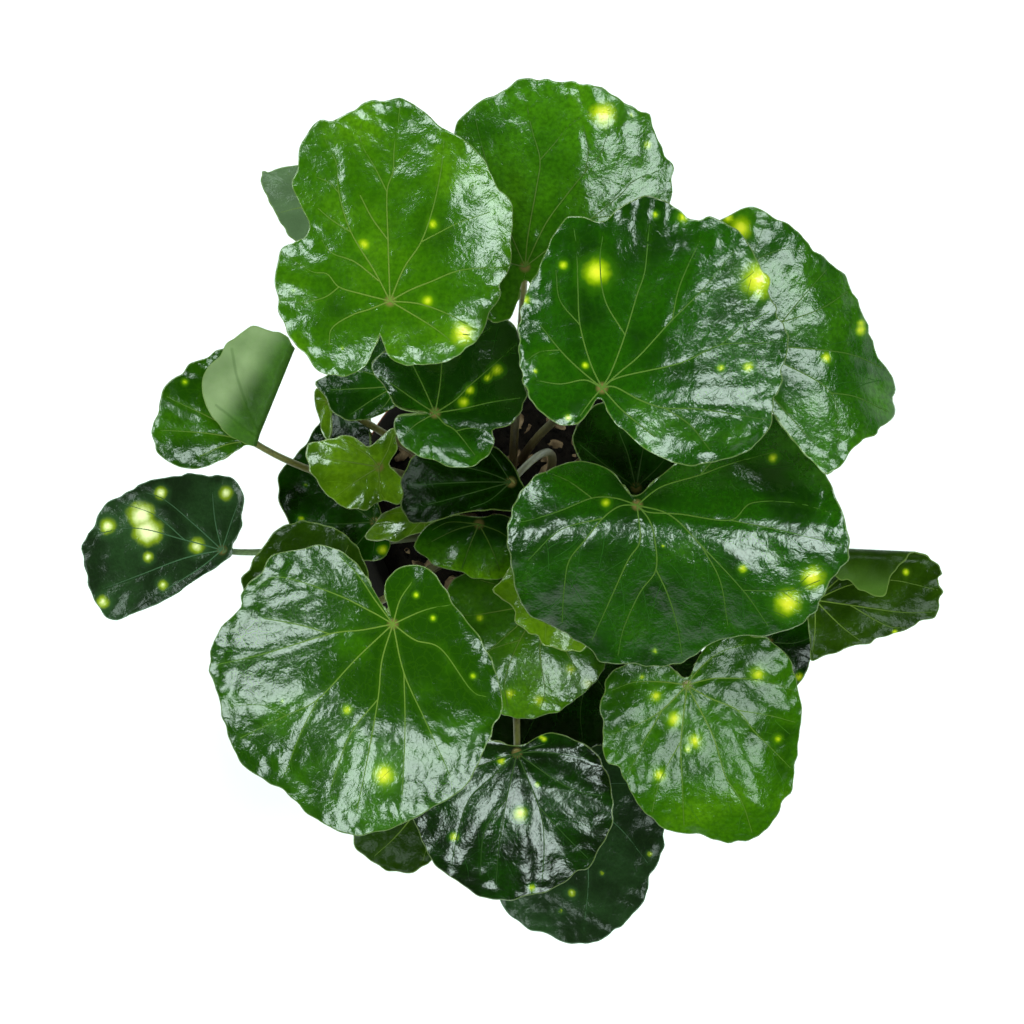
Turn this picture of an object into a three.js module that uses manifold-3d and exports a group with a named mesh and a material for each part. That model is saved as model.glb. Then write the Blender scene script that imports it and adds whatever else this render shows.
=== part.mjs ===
// A potted leopard plant with round spotted leaves, seen in the photograph from straight above.
// Millimetres, +Z up, origin on the pot's axis at the middle of its underside.
// Each leaf is a thin waved blade on its own stalk; the stalks stand in plain holes in the soil.

import * as THREE from 'three';
import Module from 'manifold-3d';

// The view that the leaf outlines were read in: straight down the pot's axis.
const EYE_HEIGHT = 1394;
const FOCAL_PIXELS = 2417.8;
const VIEW_CENTRE = 512;

// The pot.
const POT_HEIGHT = 150;
const POT_BASE_RADIUS = 54;
const POT_RIM_RADIUS = 83;
const RIM_BAND_HEIGHT = 36;
const RIM_BAND_STEP = 8;
const WALL = 6;
const FLOOR = 10;
const POT_EDGE = 2;
const BAND_ROUNDING = 3;
const POT_SEGMENTS = 36;
const DRAIN_RADIUS = 5;
const DRAIN_CIRCLE = 32;
const DRAIN_COUNT = 3;
const DRAIN_SIDES = 16;
const CUT_PAST = 1;

// The soil.
const SOIL_EDGE_HEIGHT = 133;
const SOIL_MOUND = 6;
const SOIL_RINGS = [1, 0.6, 0];
const FIT_GAP = 0.3;
const HOLE_DEPTH = 12;
const HOLE_SIDES = 8;

// The leaves.
const BLADE_THICKNESS = 0.9;
const BEND_SOFTNESS = 7;
const WAVE_ONSET = 2;
const SECOND_WAVE_SHARE = 0.5;
const SECOND_WAVE_EXTRA = 4;
const STALK_TOP_RADIUS = 1.5;
const STALK_BASE_RADIUS = 2.3;
const STALK_SIDES = 6;
const STALK_STEPS = 7;
const SEAT_GAP = 0.3;
const PAD_RADIUS = 3.2;
const PAD_MOST = 0.45;
const ROLL_CLEAR_OF_PAD = 1.5;
const COLLAR = 6;

const DARK_GREEN = '#1d4a12';
const MID_GREEN = '#2c6a14';
const LEAF_GREEN = '#35781a';
const OLIVE_GREEN = '#4c6e1c';
const PALE_GREEN = '#7ba332';
const BLUE_GREEN = '#1e3f30';
const GREY_GREEN = '#5d7f4c';
const STALK_BROWN = '#7f7238';
const STALK_GREEN = '#6f8748';
const TERRACOTTA = '#b5653f';
const SOIL_BROWN = '#3a2a1e';
const GREEN_STALKED = [GREY_GREEN, BLUE_GREEN];
const BLADE_ROUGHNESS = 0.3;
const STALK_ROUGHNESS = 0.6;
const POT_ROUGHNESS = 0.85;
const SOIL_ROUGHNESS = 0.95;

// One row for each leaf. Outlines and joints are view pixels, read off the photograph by hand;
// height, base, rise and lean are millimetres. A bend is a line and a grade: past the line,
// on its right-hand side, the blade slopes by that grade.
const LEAVES = [
  {
    name: 'north_west', joint: '390,301', height: 372, slope: [0.06, 0.02], droop: 4, rings: 4,
    wave: [1.8, 7, 0.4], colour: LEAF_GREEN, base: [-8, 17], lean: [-2, 8, -95], rise: [-4, 16, 70],
    bends: ['450,380 436,100 -0.38', '280,336 500,320 -0.38'],
    outline: `380,334 377,341 372,353 366,365 355,373 343,376 328,374 317,369 305,353 293,342
      284,325 279,308 276,285 276,268 279,254 287,246 297,241 305,238 309,229 308,220 303,210
      297,197 292,183 297,168 300,148 303,138 310,130 318,121 330,121 341,117 355,109
      368,101 385,100 400,98 410,101 420,109 432,118 440,127 454,133 472,146 484,160
      496,185 508,199 513,212 511,250 510,267 501,284 500,296 486,321 481,336 468,346
      452,360 428,365 402,364 389,357 383,344`,
  },
  {
    name: 'north', joint: '525,267', height: 348, slope: [-0.04, 0.06], droop: 3, rings: 4,
    wave: [1.6, 6, 1.2], colour: MID_GREEN, base: [0, 19], lean: [0, 2, -90], rise: [1, 16, 70],
    bends: ['604,300 588,80 -0.36', '492,100 500,260 0.15'],
    outline: `522,283 517,303 508,320 494,322 480,312 468,295 460,270 456,240 453,210 450,180
      450,155 455,132 460,119 470,110 480,102 487,97 500,93 510,86 520,79 530,79 560,82
      573,82 581,85 600,86 615,97 626,103 640,110 648,114 653,125 657,135
      664,154 671,162 674,170 671,180 673,190 670,204 664,225 650,250 630,272 608,286 588,296
      566,302 548,302 535,292 528,281`,
  },
  {
    name: 'top', joint: '602,388', height: 385, slope: [0.02, 0], droop: 3, rings: 4,
    wave: [1.8, 7, 2.1], colour: MID_GREEN, base: [5, 27], lean: [-8, -2, -90], rise: [8, 14, 80],
    bends: ['650,420 700,200 -0.3', '560,416 800,372 -0.34', '562,210 528,400 -0.2'],
    outline: `597,399 590,410 580,422 570,425 558,424 545,415 535,405 527,392 522,375 519,355
      520,315 524,300 530,285 537,272 544,255 551,240 558,228 567,218 577,217 590,219
      600,222 607,220 617,210 628,202 640,197 652,196 661,199 672,205 680,211 690,218 700,220
      709,216 718,219 730,226 745,237 757,260 770,282 769,292 778,315 783,325
      789,338 787,352 783,368 779,392 774,398 771,425 760,440 745,452 725,460
      705,463 690,466 670,461 655,454 640,445 628,434 615,423 607,410 603,401`,
  },
  {
    name: 'north_east', joint: '728,338', height: 362, slope: [-0.14, 0], droop: 2, rings: 4,
    wave: [1.5, 6, 0.2], colour: MID_GREEN, base: [24, 17], lean: [-6, -6, -90], rise: [8, 6, 80],
    bends: ['806,470 770,220 -0.14', '874,470 808,220 -0.8'],
    outline: `718,338 706,326 697,305 692,280 695,255 706,234 720,220 735,212 742,208 755,209
      765,211 775,218 788,224 800,235 808,242 815,252 828,260 840,270 848,280 855,295 862,312
      868,325 869,335 875,350 882,362 890,373 895,383 896,392 894,400 894,415 890,422 880,428
      877,435 868,438 862,440 850,452 845,462 835,470 825,473 812,461 798,446 784,428 770,408
      757,388 745,372 734,359 723,348`,
  },
  {
    name: 'middle_east', joint: '637,505', height: 328, slope: [0, -0.18], droop: 2, rings: 5,
    wave: [2, 7, 0.9], colour: MID_GREEN, base: [19, -2], lean: [-2, -4, -80], rise: [10, -1, 70],
    bends: ['500,514 850,548 -1'],
    outline: `630,494 615,474 599,465 579,461 562,464 546,471 530,481 519,496 511,515 507,535
      510,556 514,581 521,604 534,618 555,627 573,639 592,652 603,663 629,664 651,666 677,664
      695,655 713,643 736,636 755,636 773,635 798,625 817,609 824,593 831,579 842,568 849,549
      847,529 840,506 831,485 822,466 798,428 770,414 730,426 695,450 670,468 650,485 640,494`,
  },
  {
    name: 'south_west', joint: '393,624', height: 335, slope: [0.02, 0], droop: 3, rings: 4,
    wave: [1.8, 7, 1.6], colour: LEAF_GREEN, base: [-14, -12], lean: [-9, 12, -60], rise: [-14, -8, 70],
    bends: ['372,560 300,730 -0.3', '290,690 500,752 -0.34'],
    outline: `388,614 378,597 361,569 350,558 334,548 317,545 300,549 280,552 267,561 261,573
      243,591 240,608 226,621 217,636 209,657 211,677 218,694 222,716 229,735 236,755 248,770
      269,783 285,792 304,811 321,822 350,835 373,833 402,824 421,814 441,804 460,792 471,777
      482,755 493,729 502,709 499,683 490,657 480,638 464,618 449,597 434,573 423,565 406,565
      393,573 385,583 386,599 390,614`,
  },
  {
    name: 'south_west_behind', joint: '340,622', height: 290, slope: [0, -0.05], droop: 3, rings: 3,
    wave: [1, 5, 0.5], colour: OLIVE_GREEN, base: [-23, -18], lean: [8, 2, -60], rise: [-12, -8, 60],
    bends: [],
    outline: `353,627 366,640 368,660 354,680 330,690 300,685 270,668 250,640 243,612 243,590
      243,579 252,562 265,545 278,529 298,522 317,523 339,531 356,545 363,560 368,576 368,594
      364,608 354,618`,
  },
  {
    name: 'south', joint: '517,753', height: 242, slope: [-0.04, 0.08], droop: 4, rings: 4,
    wave: [2, 8, 0.3], colour: DARK_GREEN, base: [1, -29], lean: [0, 9, -24], rise: [0, -18, 60],
    bends: ['400,778 620,812 -0.3', '524,740 506,900 -0.22'],
    outline: `523,745 535,738 548,733 563,735 581,742 594,751 604,766 611,785 613,811 609,833
      600,848 589,868 578,872 563,883 548,892 527,896 513,900 498,899 479,897 466,887 451,876
      433,863 422,840 413,820 412,800 418,782 430,766 446,755 463,747 480,742 496,741 509,745`,
  },
  {
    name: 'south_east', joint: '687,685', height: 262, slope: [0, 0.24], droop: 2, rings: 4,
    wave: [1.8, 7, 2.6], colour: LEAF_GREEN, base: [21, -20], lean: [-12, 8, -30], rise: [16, -14, 70],
    bends: ['600,800 800,808 -0.5', '766,850 768,640 -0.6'],
    outline: `681,677 671,667 658,661 640,660 620,667 607,678 604,691 599,707 603,722 603,746
      607,761 619,768 628,787 641,807 655,821 667,831 684,833 699,834 723,842 747,841 764,831
      779,814 782,801 792,793 794,775 797,756 802,717 799,693 793,668 786,654 770,641 750,635
      728,635 711,642 701,653 695,664 690,676`,
  },
  {
    name: 'south_low', joint: '572,792', height: 180, slope: [0, 0], droop: 2, rings: 3,
    wave: [1.5, 5, 1.1], colour: BLUE_GREEN, base: [8, -29], lean: [-4, 22, -16], rise: [2, -26, 44],
    bends: [],
    outline: `566,783 552,777 535,781 515,795 502,815 494,840 492,870 500,901 524,927 548,935
      568,944 596,941 620,926 644,900 650,876 661,857 664,831 660,805 650,780 634,756 614,738
      598,729 580,729 572,742 570,762 571,780`,
  },
  {
    name: 'south_west_low', joint: '421,806', height: 200, slope: [0, 0.1], droop: 2, rings: 3,
    wave: [1, 4, 0.6], colour: OLIVE_GREEN, base: [-8, -28], lean: [6, 24, -18], rise: [-4, -22, 48],
    bends: [],
    outline: `430,801 441,808 447,824 443,842 436,856 427,864 414,872 401,873 383,868 368,858
      355,846 353,835 352,818 360,802 376,792 396,788 413,794 424,796`,
  },
  {
    name: 'west_rolled', joint: '250,440', height: 250, slope: [0, 0], droop: 2, rings: 7,
    wave: [1, 5, 1.9], colour: LEAF_GREEN, base: [-29, 7], lean: [28, -20, -24], rise: [-20, 0, 62],
    bends: ['150,436 262,448 -0.42'],
    roll: { line: '254,432 281,342', radii: [5, 14], side: 1 },
    outline: `246,445 240,449 229,455 219,461 202,468 186,468 172,464 160,455 151,435 152,426
      158,415 160,399 167,385 179,374 192,364 211,356 224,348 240,341 256,338 272,338 288,343
      301,351 329,347 338,352 354,356 359,364 362,382 358,397 356,413 349,427 337,436 319,445
      303,449 293,453 275,452 262,449 255,446`,
  },
  {
    name: 'west_low', joint: '222,550', height: 190, slope: [0, 0.04], droop: 1, rings: 3,
    wave: [1.2, 5, 2.2], colour: BLUE_GREEN, base: [-28, -11], lean: [18, -5, -14], rise: [-24, -1, 46],
    bends: ['100,622 226,556 0.3'],
    outline: `232,554 224,561 213,569 195,580 178,592 159,603 144,609 130,614 117,620 103,614
      95,598 87,585 86,572 82,549 87,536 95,525 103,507 121,496 146,482 166,478 190,474 208,476
      228,477 240,487 244,500 241,516 242,525 237,536 232,545`,
  },
  {
    name: 'inner_west', joint: '379,467', height: 250, slope: [0, 0.06], droop: 2, rings: 3,
    wave: [1.6, 6, 0.7], colour: PALE_GREEN, base: [-18, 8], lean: [8, -2, -50], rise: [-10, 2, 50],
    bends: ['300,478 410,484 -0.3'],
    outline: `389,464 397,450 396,438 394,427 381,437 369,447 360,442 349,436 327,440 307,445
      309,463 310,472 319,483 326,495 336,502 345,509 356,508 367,509 376,504 383,500 390,503
      399,504 405,492 403,480 396,472`,
  },
  {
    name: 'inner_crinkled', joint: '424,519', height: 238, slope: [0.05, 0], droop: 2, rings: 3,
    wave: [1.6, 7, 0.1], colour: PALE_GREEN, base: [-20, -3], lean: [4, 0, -40], rise: [-8, 0, 50],
    bends: ['398,500 392,550 -0.3'],
    outline: `433,522 428,530 419,533 408,536 397,542 389,540 385,539 377,541 367,539 365,536
      372,526 383,513 394,508 405,506 420,507 430,511 435,516`,
  },
  {
    name: 'inner_north', joint: '435,413', height: 318, slope: [-0.02, 0.06], droop: 2, rings: 4,
    wave: [1.6, 6, 1.4], colour: MID_GREEN, base: [-7, 8], lean: [4, 0, -70], rise: [-8, 8, 60],
    bends: ['524,430 508,320 -0.5', '390,430 500,452 -0.35'],
    outline: `425,412 404,409 394,403 383,385 371,368 384,352 402,340 424,330 448,322
      472,318 496,318 514,326 522,344 523,362 524,381 527,394 522,406 517,419 508,426 495,429
      493,433 492,449 481,461 469,468 456,468 436,461 420,456 406,449 397,436 394,424 397,416
      412,414.6 426,413.4`,
  },
  {
    name: 'inner_middle', joint: '511,482', height: 292, slope: [0.04, 0.05], droop: 2, rings: 3,
    wave: [1.2, 5, 0.5], colour: DARK_GREEN, base: [17, 12], lean: [17, 20, -22], rise: [8, 22, 60],
    bends: ['414,450 410,530 -0.4'],
    outline: `520,480 516,470 506,456 493,446 476,439 458,437 438,441 422,450 410,461 402,476
      401,492 403,511 411,522 424,523 442,519 461,513 479,511 495,510 511,511 522,507 527,498
      525,488`,
  },
  {
    name: 'inner_south', joint: '479,524', height: 267, slope: [0, 0.05], droop: 1, rings: 3,
    wave: [1, 5, 2.5], colour: MID_GREEN, base: [-9, -3], lean: [2, 0, -50], rise: [-2, -1, 50],
    bends: ['410,549 515,560 -0.4'],
    outline: `484,517 496,514 510,518 520,530 523,545 520,560 512,571 501,578 486,579 469,576
      454,570 438,567 426,558 415,549 417,538 426,527 440,519 458,515 474,517`,
  },
  {
    name: 'lower_middle', joint: '545,602', height: 248, slope: [0.04, 0.1], droop: 3, rings: 4,
    wave: [1.4, 6, 1.8], colour: LEAF_GREEN, base: [5, -19], lean: [-2, 6, -50], rise: [2, -8, 50],
    bends: ['450,648 600,690 -0.36'],
    outline: `539,594 528,583 512,573 494,568 475,569 459,576 451,583 447,593 446,610 448,630
      453,650 462,670 474,688 489,705 503,715 521,719 539,717 560,711 574,701 588,689 600,675
      607,655 606,632 597,611 582,598 566,592 552,594`,
  },
  {
    name: 'crinkled_middle', joint: '578,564', height: 276, slope: [0.06, 0.14], droop: 1, rings: 3,
    wave: [1.3, 9, 0.8], colour: PALE_GREEN, base: [8, -7], lean: [-3, 2, -60], rise: [6, -4, 50],
    bends: [],
    outline: `587,567 597,580 602,600 600,620 593,638 583,648 577,652 566,651 555,648 545,647
      538,636 529,634 523,628 516,621 515,611 508,603 500,597 493,589 501,581 508,569 520,557
      538,549 558,548 574,554`,
  },
  {
    name: 'east_rolled', joint: '815,600', height: 250, slope: [0, 0.06], droop: 2, rings: 6,
    wave: [1, 5, 0.4], colour: OLIVE_GREEN, base: [29, -8], lean: [-28, 8, -26], rise: [24, -4, 62],
    bends: ['800,640 940,610 -0.2'],
    roll: { line: '830,561 917,565', radii: [12, 12], side: -1 },
    outline: `807,604 807,612 808,622 810,645 811,662 822,656 832,654 840,651 848,647 860,645
      872,642 880,638 890,635 905,631 912,626 922,621 933,618 937,614 939,607 940,597 942,592
      939,585 938,578 942,574 940,569 937,563 930,557 922,553 915,546 906,531 899,522 893,512
      889,493 866,497 853,505 841,508 824,520 812,542 804,570 802,590`,
  },
  {
    name: 'north_west_behind', joint: '336,212', height: 250, slope: [0, 0], droop: 2, rings: 3,
    wave: [1, 4, 1.3], colour: GREY_GREEN, base: [-11, 28], lean: [6, -12, -50], rise: [-10, 22, 60],
    bends: [],
    outline: `343,219 340,232 327,242 310,246 294,240 287,232 280,220 272,205 264,190 261,178
      262,170 268,172 275,169 283,167 297,166 315,164 333,169 346,182 350,200`,
  },
  {
    name: 'west_dark', joint: '375,522', height: 200, slope: [0, -0.2], droop: 2, rings: 3,
    wave: [1.2, 5, 0.9], colour: DARK_GREEN, base: [-30, -2], lean: [8, 2, -30], rise: [-14, 0, 36],
    bends: [],
    outline: `384,526 390,540 388,552 376,560 352,562 330,557 312,549 297,537 288,522 281,506
      278,492 279,474 292,460 306,444 318,424 332,408 352,402 368,410 373,430 372,460 374,490
      380,508`,
  },
  {
    name: 'inner_north_west', joint: '396,386', height: 260, slope: [0.05, -0.05], droop: 2, rings: 3,
    wave: [1.6, 5, 2], colour: MID_GREEN, base: [-19, 22], lean: [5, -3, -50], rise: [-8, 10, 50],
    bends: ['316,392 400,392 -0.2'],
    outline: `404,389 402,398 395,406 381,414 367,419 349,420 335,414 327,401 319,389 316,381
      329,374 345,362 358,344 370,330 388,328 402,342 406,360 405,378`,
  },
  {
    name: 'young_curl', joint: '330,400', height: 225, slope: [0.1, 0], droop: 1, rings: 2,
    wave: [0.8, 3, 0.6], colour: PALE_GREEN, base: [-25, 16], lean: [6, -4, -40], rise: [-14, 8, 50],
    bends: [],
    outline: `340,398 335,391 326,388 316,389 315,403 320,421 322,433 327,441 331,434 331,420
      334,411 341,407`,
  },
  {
    name: 'middle_dark', joint: '636,488', height: 303, slope: [0, 0], droop: 2, rings: 3,
    wave: [1.2, 5, 0.3], colour: DARK_GREEN, base: [27, 6], lean: [-4, -1, -60], rise: [8, 2, 60],
    bends: [],
    outline: `630,495 616,494 600,486 588,474 579,458 573,442 575,428 585,414 600,404 620,398
      645,396 664,402 676,416 681,434 680,454 672,472 660,485 646,494`,
  },
  {
    name: 'east_dark', joint: '768,642', height: 210, slope: [0, 0], droop: 2, rings: 3,
    wave: [1, 4, 0.7], colour: DARK_GREEN, base: [28, -17], lean: [-24, 10, -24], rise: [22, -10, 50],
    bends: [],
    outline: `759,638 752,624 762,608 785,600 806,602 817,614 820,632 816,648 811,660 806,671
      800,684 785,692 768,688 756,674 752,656 758,646`,
  },
  {
    name: 'south_dark', joint: '590,668', height: 190, slope: [0, 0.02], droop: 2, rings: 3,
    wave: [1, 4, 1.5], colour: DARK_GREEN, base: [15, -26], lean: [-10, 20, -12], rise: [2, -8, 24],
    bends: [],
    outline: `602,653 640,641 684,640 706,660 684,690 640,714 608,742 560,755 510,750 480,730
      480,696 508,664 556,650 584,655`,
  },
];

// Turns 'x,y x,y' into number pairs.
function pairs(text) {
  return text.trim().split(/\s+/).map((pair) => pair.split(',').map(Number));
}

// Millimetres for one view pixel at a height.
function pixelSize(height) {
  return (EYE_HEIGHT - height) / FOCAL_PIXELS;
}

// The point at a height that the view shows at a pixel.
function placePixel([column, row], height) {
  const size = pixelSize(height);
  return new THREE.Vector3((column - VIEW_CENTRE) * size, (VIEW_CENTRE - row) * size, height);
}

// Smooth ramp: nothing before the line, as the distance after it.
function softRamp(distance) {
  return BEND_SOFTNESS * Math.log1p(Math.exp(distance / BEND_SOFTNESS));
}

// Distance of a pixel to the right of the line from start to end, in pixels.
function rightOf([column, row], [[startColumn, startRow], [endColumn, endRow]]) {
  const along = [endColumn - startColumn, endRow - startRow];
  const cross = along[0] * (row - startRow) - along[1] * (column - startColumn);
  return cross / Math.hypot(along[0], along[1]);
}

// Where a flat pixel stands against a roll: its distance past the line and the radius there.
function rollReach(pixel, roll) {
  const line = pairs(roll.line);
  const along = [line[1][0] - line[0][0], line[1][1] - line[0][1]];
  const length = Math.hypot(along[0], along[1]);
  const ahead = (pixel[0] - line[0][0]) * along[0] + (pixel[1] - line[0][1]) * along[1];
  const share = Math.max(ahead / length ** 2, 0);
  return {
    distance: rightOf(pixel, line) * roll.side,
    radius: THREE.MathUtils.lerp(roll.radii[0], roll.radii[1], share),
    right: [-along[1] / length * roll.side, along[0] / length * roll.side],
  };
}

// Rolls a pixel of the flat leaf over the roll line; gives the pixel and the lift in pixels.
function rollOver(pixel, roll) {
  if (!roll) return { pixel, lift: 0 };
  const { distance, radius, right } = rollReach(pixel, roll);
  if (distance <= 0) return { pixel, lift: 0 };
  const turn = Math.min(distance / radius, Math.PI);
  const beyond = Math.max(distance - Math.PI * radius, 0);
  const shift = radius * Math.sin(turn) - beyond - distance;
  return {
    pixel: [pixel[0] + right[0] * shift, pixel[1] + right[1] * shift],
    lift: radius * (1 - Math.cos(turn)),
  };
}

// Millimetres from the joint to the farthest point of the outline.
function leafSpan(leaf, [column, row]) {
  const reaches = pairs(leaf.outline).map(([x, y]) => Math.hypot(x - column, y - row));
  return Math.max(...reaches) * pixelSize(leaf.height);
}

// Height of the blade's upper face at a pixel of its flat outline.
function bladeHeight(leaf, pixel, share) {
  const size = pixelSize(leaf.height);
  const east = (pixel[0] - leaf.jointPixel[0]) * size;
  const north = (leaf.jointPixel[1] - pixel[1]) * size;
  const [waveHeight, waveCount, wavePhase] = leaf.wave;
  const angle = Math.atan2(north, east);
  const ripple = Math.sin(waveCount * angle + wavePhase)
    + SECOND_WAVE_SHARE * Math.sin((waveCount + SECOND_WAVE_EXTRA) * angle + 2 * wavePhase);
  const spread = Math.hypot(east, north) / leaf.span;
  let height = leaf.height + leaf.slope[0] * east + leaf.slope[1] * north;
  height -= leaf.droop * spread ** 2;
  height += waveHeight * ripple * share ** 2 * Math.min(WAVE_ONSET * spread, 1) ** 2;
  for (const bend of leaf.bends) {
    const [start, end, grade] = bend.split(' ');
    const distance = rightOf(pixel, [pairs(start)[0], pairs(end)[0]]) * size;
    height += Number(grade) * softRamp(distance);
  }
  return height;
}

// A point of the upper face, a share of the way from the joint to an outline pixel.
function bladePoint(leaf, outlinePixel, share) {
  const flat = [0, 1].map((axis) => THREE.MathUtils.lerp(
    leaf.jointPixel[axis], outlinePixel[axis], share));
  const rolled = rollOver(flat, leaf.roll);
  const height = bladeHeight(leaf, flat, share) + rolled.lift * pixelSize(leaf.height);
  return placePixel(rolled.pixel, height);
}

// A point of the flat pad round the joint that the stalk is seated under.
function padPoint(leaf, outlinePixel, share) {
  const [column, row] = leaf.jointPixel;
  const offset = [0, 1].map((axis) => (outlinePixel[axis] - leaf.jointPixel[axis]) * share);
  const eastGrade = bladeHeight(leaf, [column + 1, row], 0) - bladeHeight(leaf, [column, row], 0);
  const southGrade = bladeHeight(leaf, [column, row + 1], 0) - bladeHeight(leaf, [column, row], 0);
  const height = bladeHeight(leaf, [column, row], 0) + eastGrade * offset[0] + southGrade * offset[1];
  return placePixel([column + offset[0], row + offset[1]], height);
}

// Shares of the rings on the way to one outline pixel: the pad first, closer steps in a roll.
function ringShares(leaf, outlinePixel) {
  const [column, row] = leaf.jointPixel;
  const reach = Math.hypot(outlinePixel[0] - column, outlinePixel[1] - row);
  const pad = Math.min(PAD_RADIUS / (reach * pixelSize(leaf.height)), PAD_MOST);
  const steps = leaf.rings - 1;
  const even = Array.from({ length: steps }, (_, index) => (
    THREE.MathUtils.lerp(pad, 1, (index + 1) / steps)));
  if (!leaf.roll) return [pad, ...even];
  const { distance, radius } = rollReach(outlinePixel, leaf.roll);
  const weight = THREE.MathUtils.clamp(distance / (Math.PI * radius) - 1, 0, 1);
  if (weight === 0) return [pad, ...even];
  const inner = rollReach(leaf.jointPixel, leaf.roll).distance;
  const first = Math.max(-inner / (distance - inner), pad * ROLL_CLEAR_OF_PAD);
  const last = (Math.PI * radius - inner) / (distance - inner);
  const close = even.map((_, index) => (index === steps - 1 ? 1
    : THREE.MathUtils.lerp(first, last, index / (steps - 2))));
  return [pad, ...even.map((share, index) => THREE.MathUtils.lerp(share, close[index], weight))];
}

// Closed body from a list of points and triangles.
function closedBody(points, triangles) {
  const geometry = new THREE.BufferGeometry();
  const numbers = points.flatMap((point) => [point.x, point.y, point.z]);
  geometry.setAttribute('position', new THREE.Float32BufferAttribute(numbers, 3));
  geometry.setIndex(triangles.flat());
  geometry.computeVertexNormals();
  return geometry;
}

// Doubled area of an outline in the view, positive when it runs anticlockwise as seen.
function turnOf(outline) {
  return outline.reduce((sum, [column, row], index) => {
    const [nextColumn, nextRow] = outline[(index + 1) % outline.length];
    return sum - (column * nextRow - nextColumn * row);
  }, 0);
}

// The upper face as a fan of rings round the joint: points, triangles and normals.
function bladeFace(leaf) {
  const outline = pairs(leaf.outline);
  if (turnOf(outline) < 0) outline.reverse();
  const count = outline.length;
  const shares = outline.map((pixel) => ringShares(leaf, pixel));
  const points = [padPoint(leaf, leaf.jointPixel, 0)];
  outline.forEach((pixel, index) => points.push(padPoint(leaf, pixel, shares[index][0])));
  for (let ring = 1; ring < leaf.rings; ring += 1) {
    outline.forEach((pixel, index) => points.push(bladePoint(leaf, pixel, shares[index][ring])));
  }
  const triangles = [];
  for (let index = 0; index < count; index += 1) {
    const next = (index + 1) % count;
    triangles.push([0, 1 + index, 1 + next]);
    for (let ring = 1; ring < leaf.rings; ring += 1) {
      const inner = 1 + (ring - 1) * count;
      const outer = inner + count;
      triangles.push([inner + index, outer + index, outer + next]);
      triangles.push([inner + index, outer + next, inner + next]);
    }
  }
  const face = closedBody(points, triangles);
  const normals = points.map((_, index) => new THREE.Vector3()
    .fromBufferAttribute(face.getAttribute('normal'), index));
  return { points, triangles, normals, count };
}

// The blade: the upper face, the same face one thickness below it, and the margin between.
function makeBlade(face) {
  const { points, triangles, normals, count } = face;
  const total = points.length;
  const lower = points.map((point, index) => point.clone()
    .addScaledVector(normals[index], -BLADE_THICKNESS));
  const margin = [];
  const first = total - count;
  for (let index = 0; index < count; index += 1) {
    const here = first + index;
    const next = first + (index + 1) % count;
    margin.push([here, here + total, next + total]);
    margin.push([here, next + total, next]);
  }
  const underside = triangles.map(([a, b, c]) => [a + total, c + total, b + total]);
  return closedBody([...points, ...lower], [...triangles, ...underside, ...margin]);
}

// Height of the soil's top at a distance from the axis.
function soilTop(radius) {
  const share = radius / soilRadius(SOIL_EDGE_HEIGHT);
  return SOIL_EDGE_HEIGHT + SOIL_MOUND * (1 - share ** 2);
}

// The pot's inner wall at a height.
function innerRadius(height) {
  const share = (height - FLOOR) / (POT_HEIGHT - FLOOR);
  return THREE.MathUtils.lerp(POT_BASE_RADIUS - WALL, POT_RIM_RADIUS - POT_EDGE - WALL, share);
}

// The soil's side at a height.
function soilRadius(height) {
  return innerRadius(height) - FIT_GAP;
}

// Ring of points round a centre in the plane of two axes.
function ringAt(centre, sideways, across, radius) {
  return Array.from({ length: STALK_SIDES }, (_, index) => {
    const angle = 2 * Math.PI * index / STALK_SIDES;
    return centre.clone()
      .addScaledVector(sideways, radius * Math.cos(angle))
      .addScaledVector(across, radius * Math.sin(angle));
  });
}

// The stalk: straight down in its hole, then a bow up to the seat under the blade.
function makeStalk(leaf, face) {
  const normal = face.normals[0];
  const seat = face.points[0].clone().addScaledVector(normal, -(BLADE_THICKNESS + SEAT_GAP));
  const [baseX, baseY] = leaf.base;
  const ground = soilTop(Math.hypot(baseX, baseY));
  const foot = new THREE.Vector3(baseX, baseY, ground - HOLE_DEPTH + FIT_GAP);
  const collar = new THREE.Vector3(baseX, baseY, ground + COLLAR);
  const path = new THREE.CubicBezierCurve3(
    collar,
    collar.clone().add(new THREE.Vector3(...leaf.rise)),
    seat.clone().add(new THREE.Vector3(...leaf.lean)),
    seat,
  );
  const outward = new THREE.Vector3(seat.x - baseX, seat.y - baseY, 0).normalize();
  const up = new THREE.Vector3(0, 0, 1);
  const sideways = new THREE.Vector3().crossVectors(up, outward).normalize();
  const rings = [ringAt(foot, sideways, outward.clone().negate(), STALK_BASE_RADIUS)];
  for (let step = 0; step <= STALK_STEPS; step += 1) {
    const share = step / STALK_STEPS;
    const centre = path.getPoint(share);
    const ahead = step === STALK_STEPS ? normal : path.getTangent(share);
    const heading = step === 0 ? up : ahead;
    const across = new THREE.Vector3().crossVectors(heading, sideways).normalize();
    const square = new THREE.Vector3().crossVectors(across, heading).normalize();
    const radius = THREE.MathUtils.lerp(STALK_BASE_RADIUS, STALK_TOP_RADIUS, share);
    rings.push(ringAt(centre, square, across, radius));
  }
  return sweepBody(rings);
}

// Closed body over a row of rings of points, with a fan at each end.
function sweepBody(rings) {
  const sides = rings[0].length;
  const points = rings.flat();
  const triangles = [];
  for (let ring = 0; ring < rings.length - 1; ring += 1) {
    for (let side = 0; side < sides; side += 1) {
      const here = ring * sides + side;
      const next = ring * sides + (side + 1) % sides;
      triangles.push([here, next, next + sides], [here, next + sides, here + sides]);
    }
  }
  const last = (rings.length - 1) * sides;
  for (let side = 1; side < sides - 1; side += 1) {
    triangles.push([0, side + 1, side], [last, last + side, last + side + 1]);
  }
  return closedBody(points, triangles);
}

const wasm = await Module();
wasm.setup();

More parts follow.
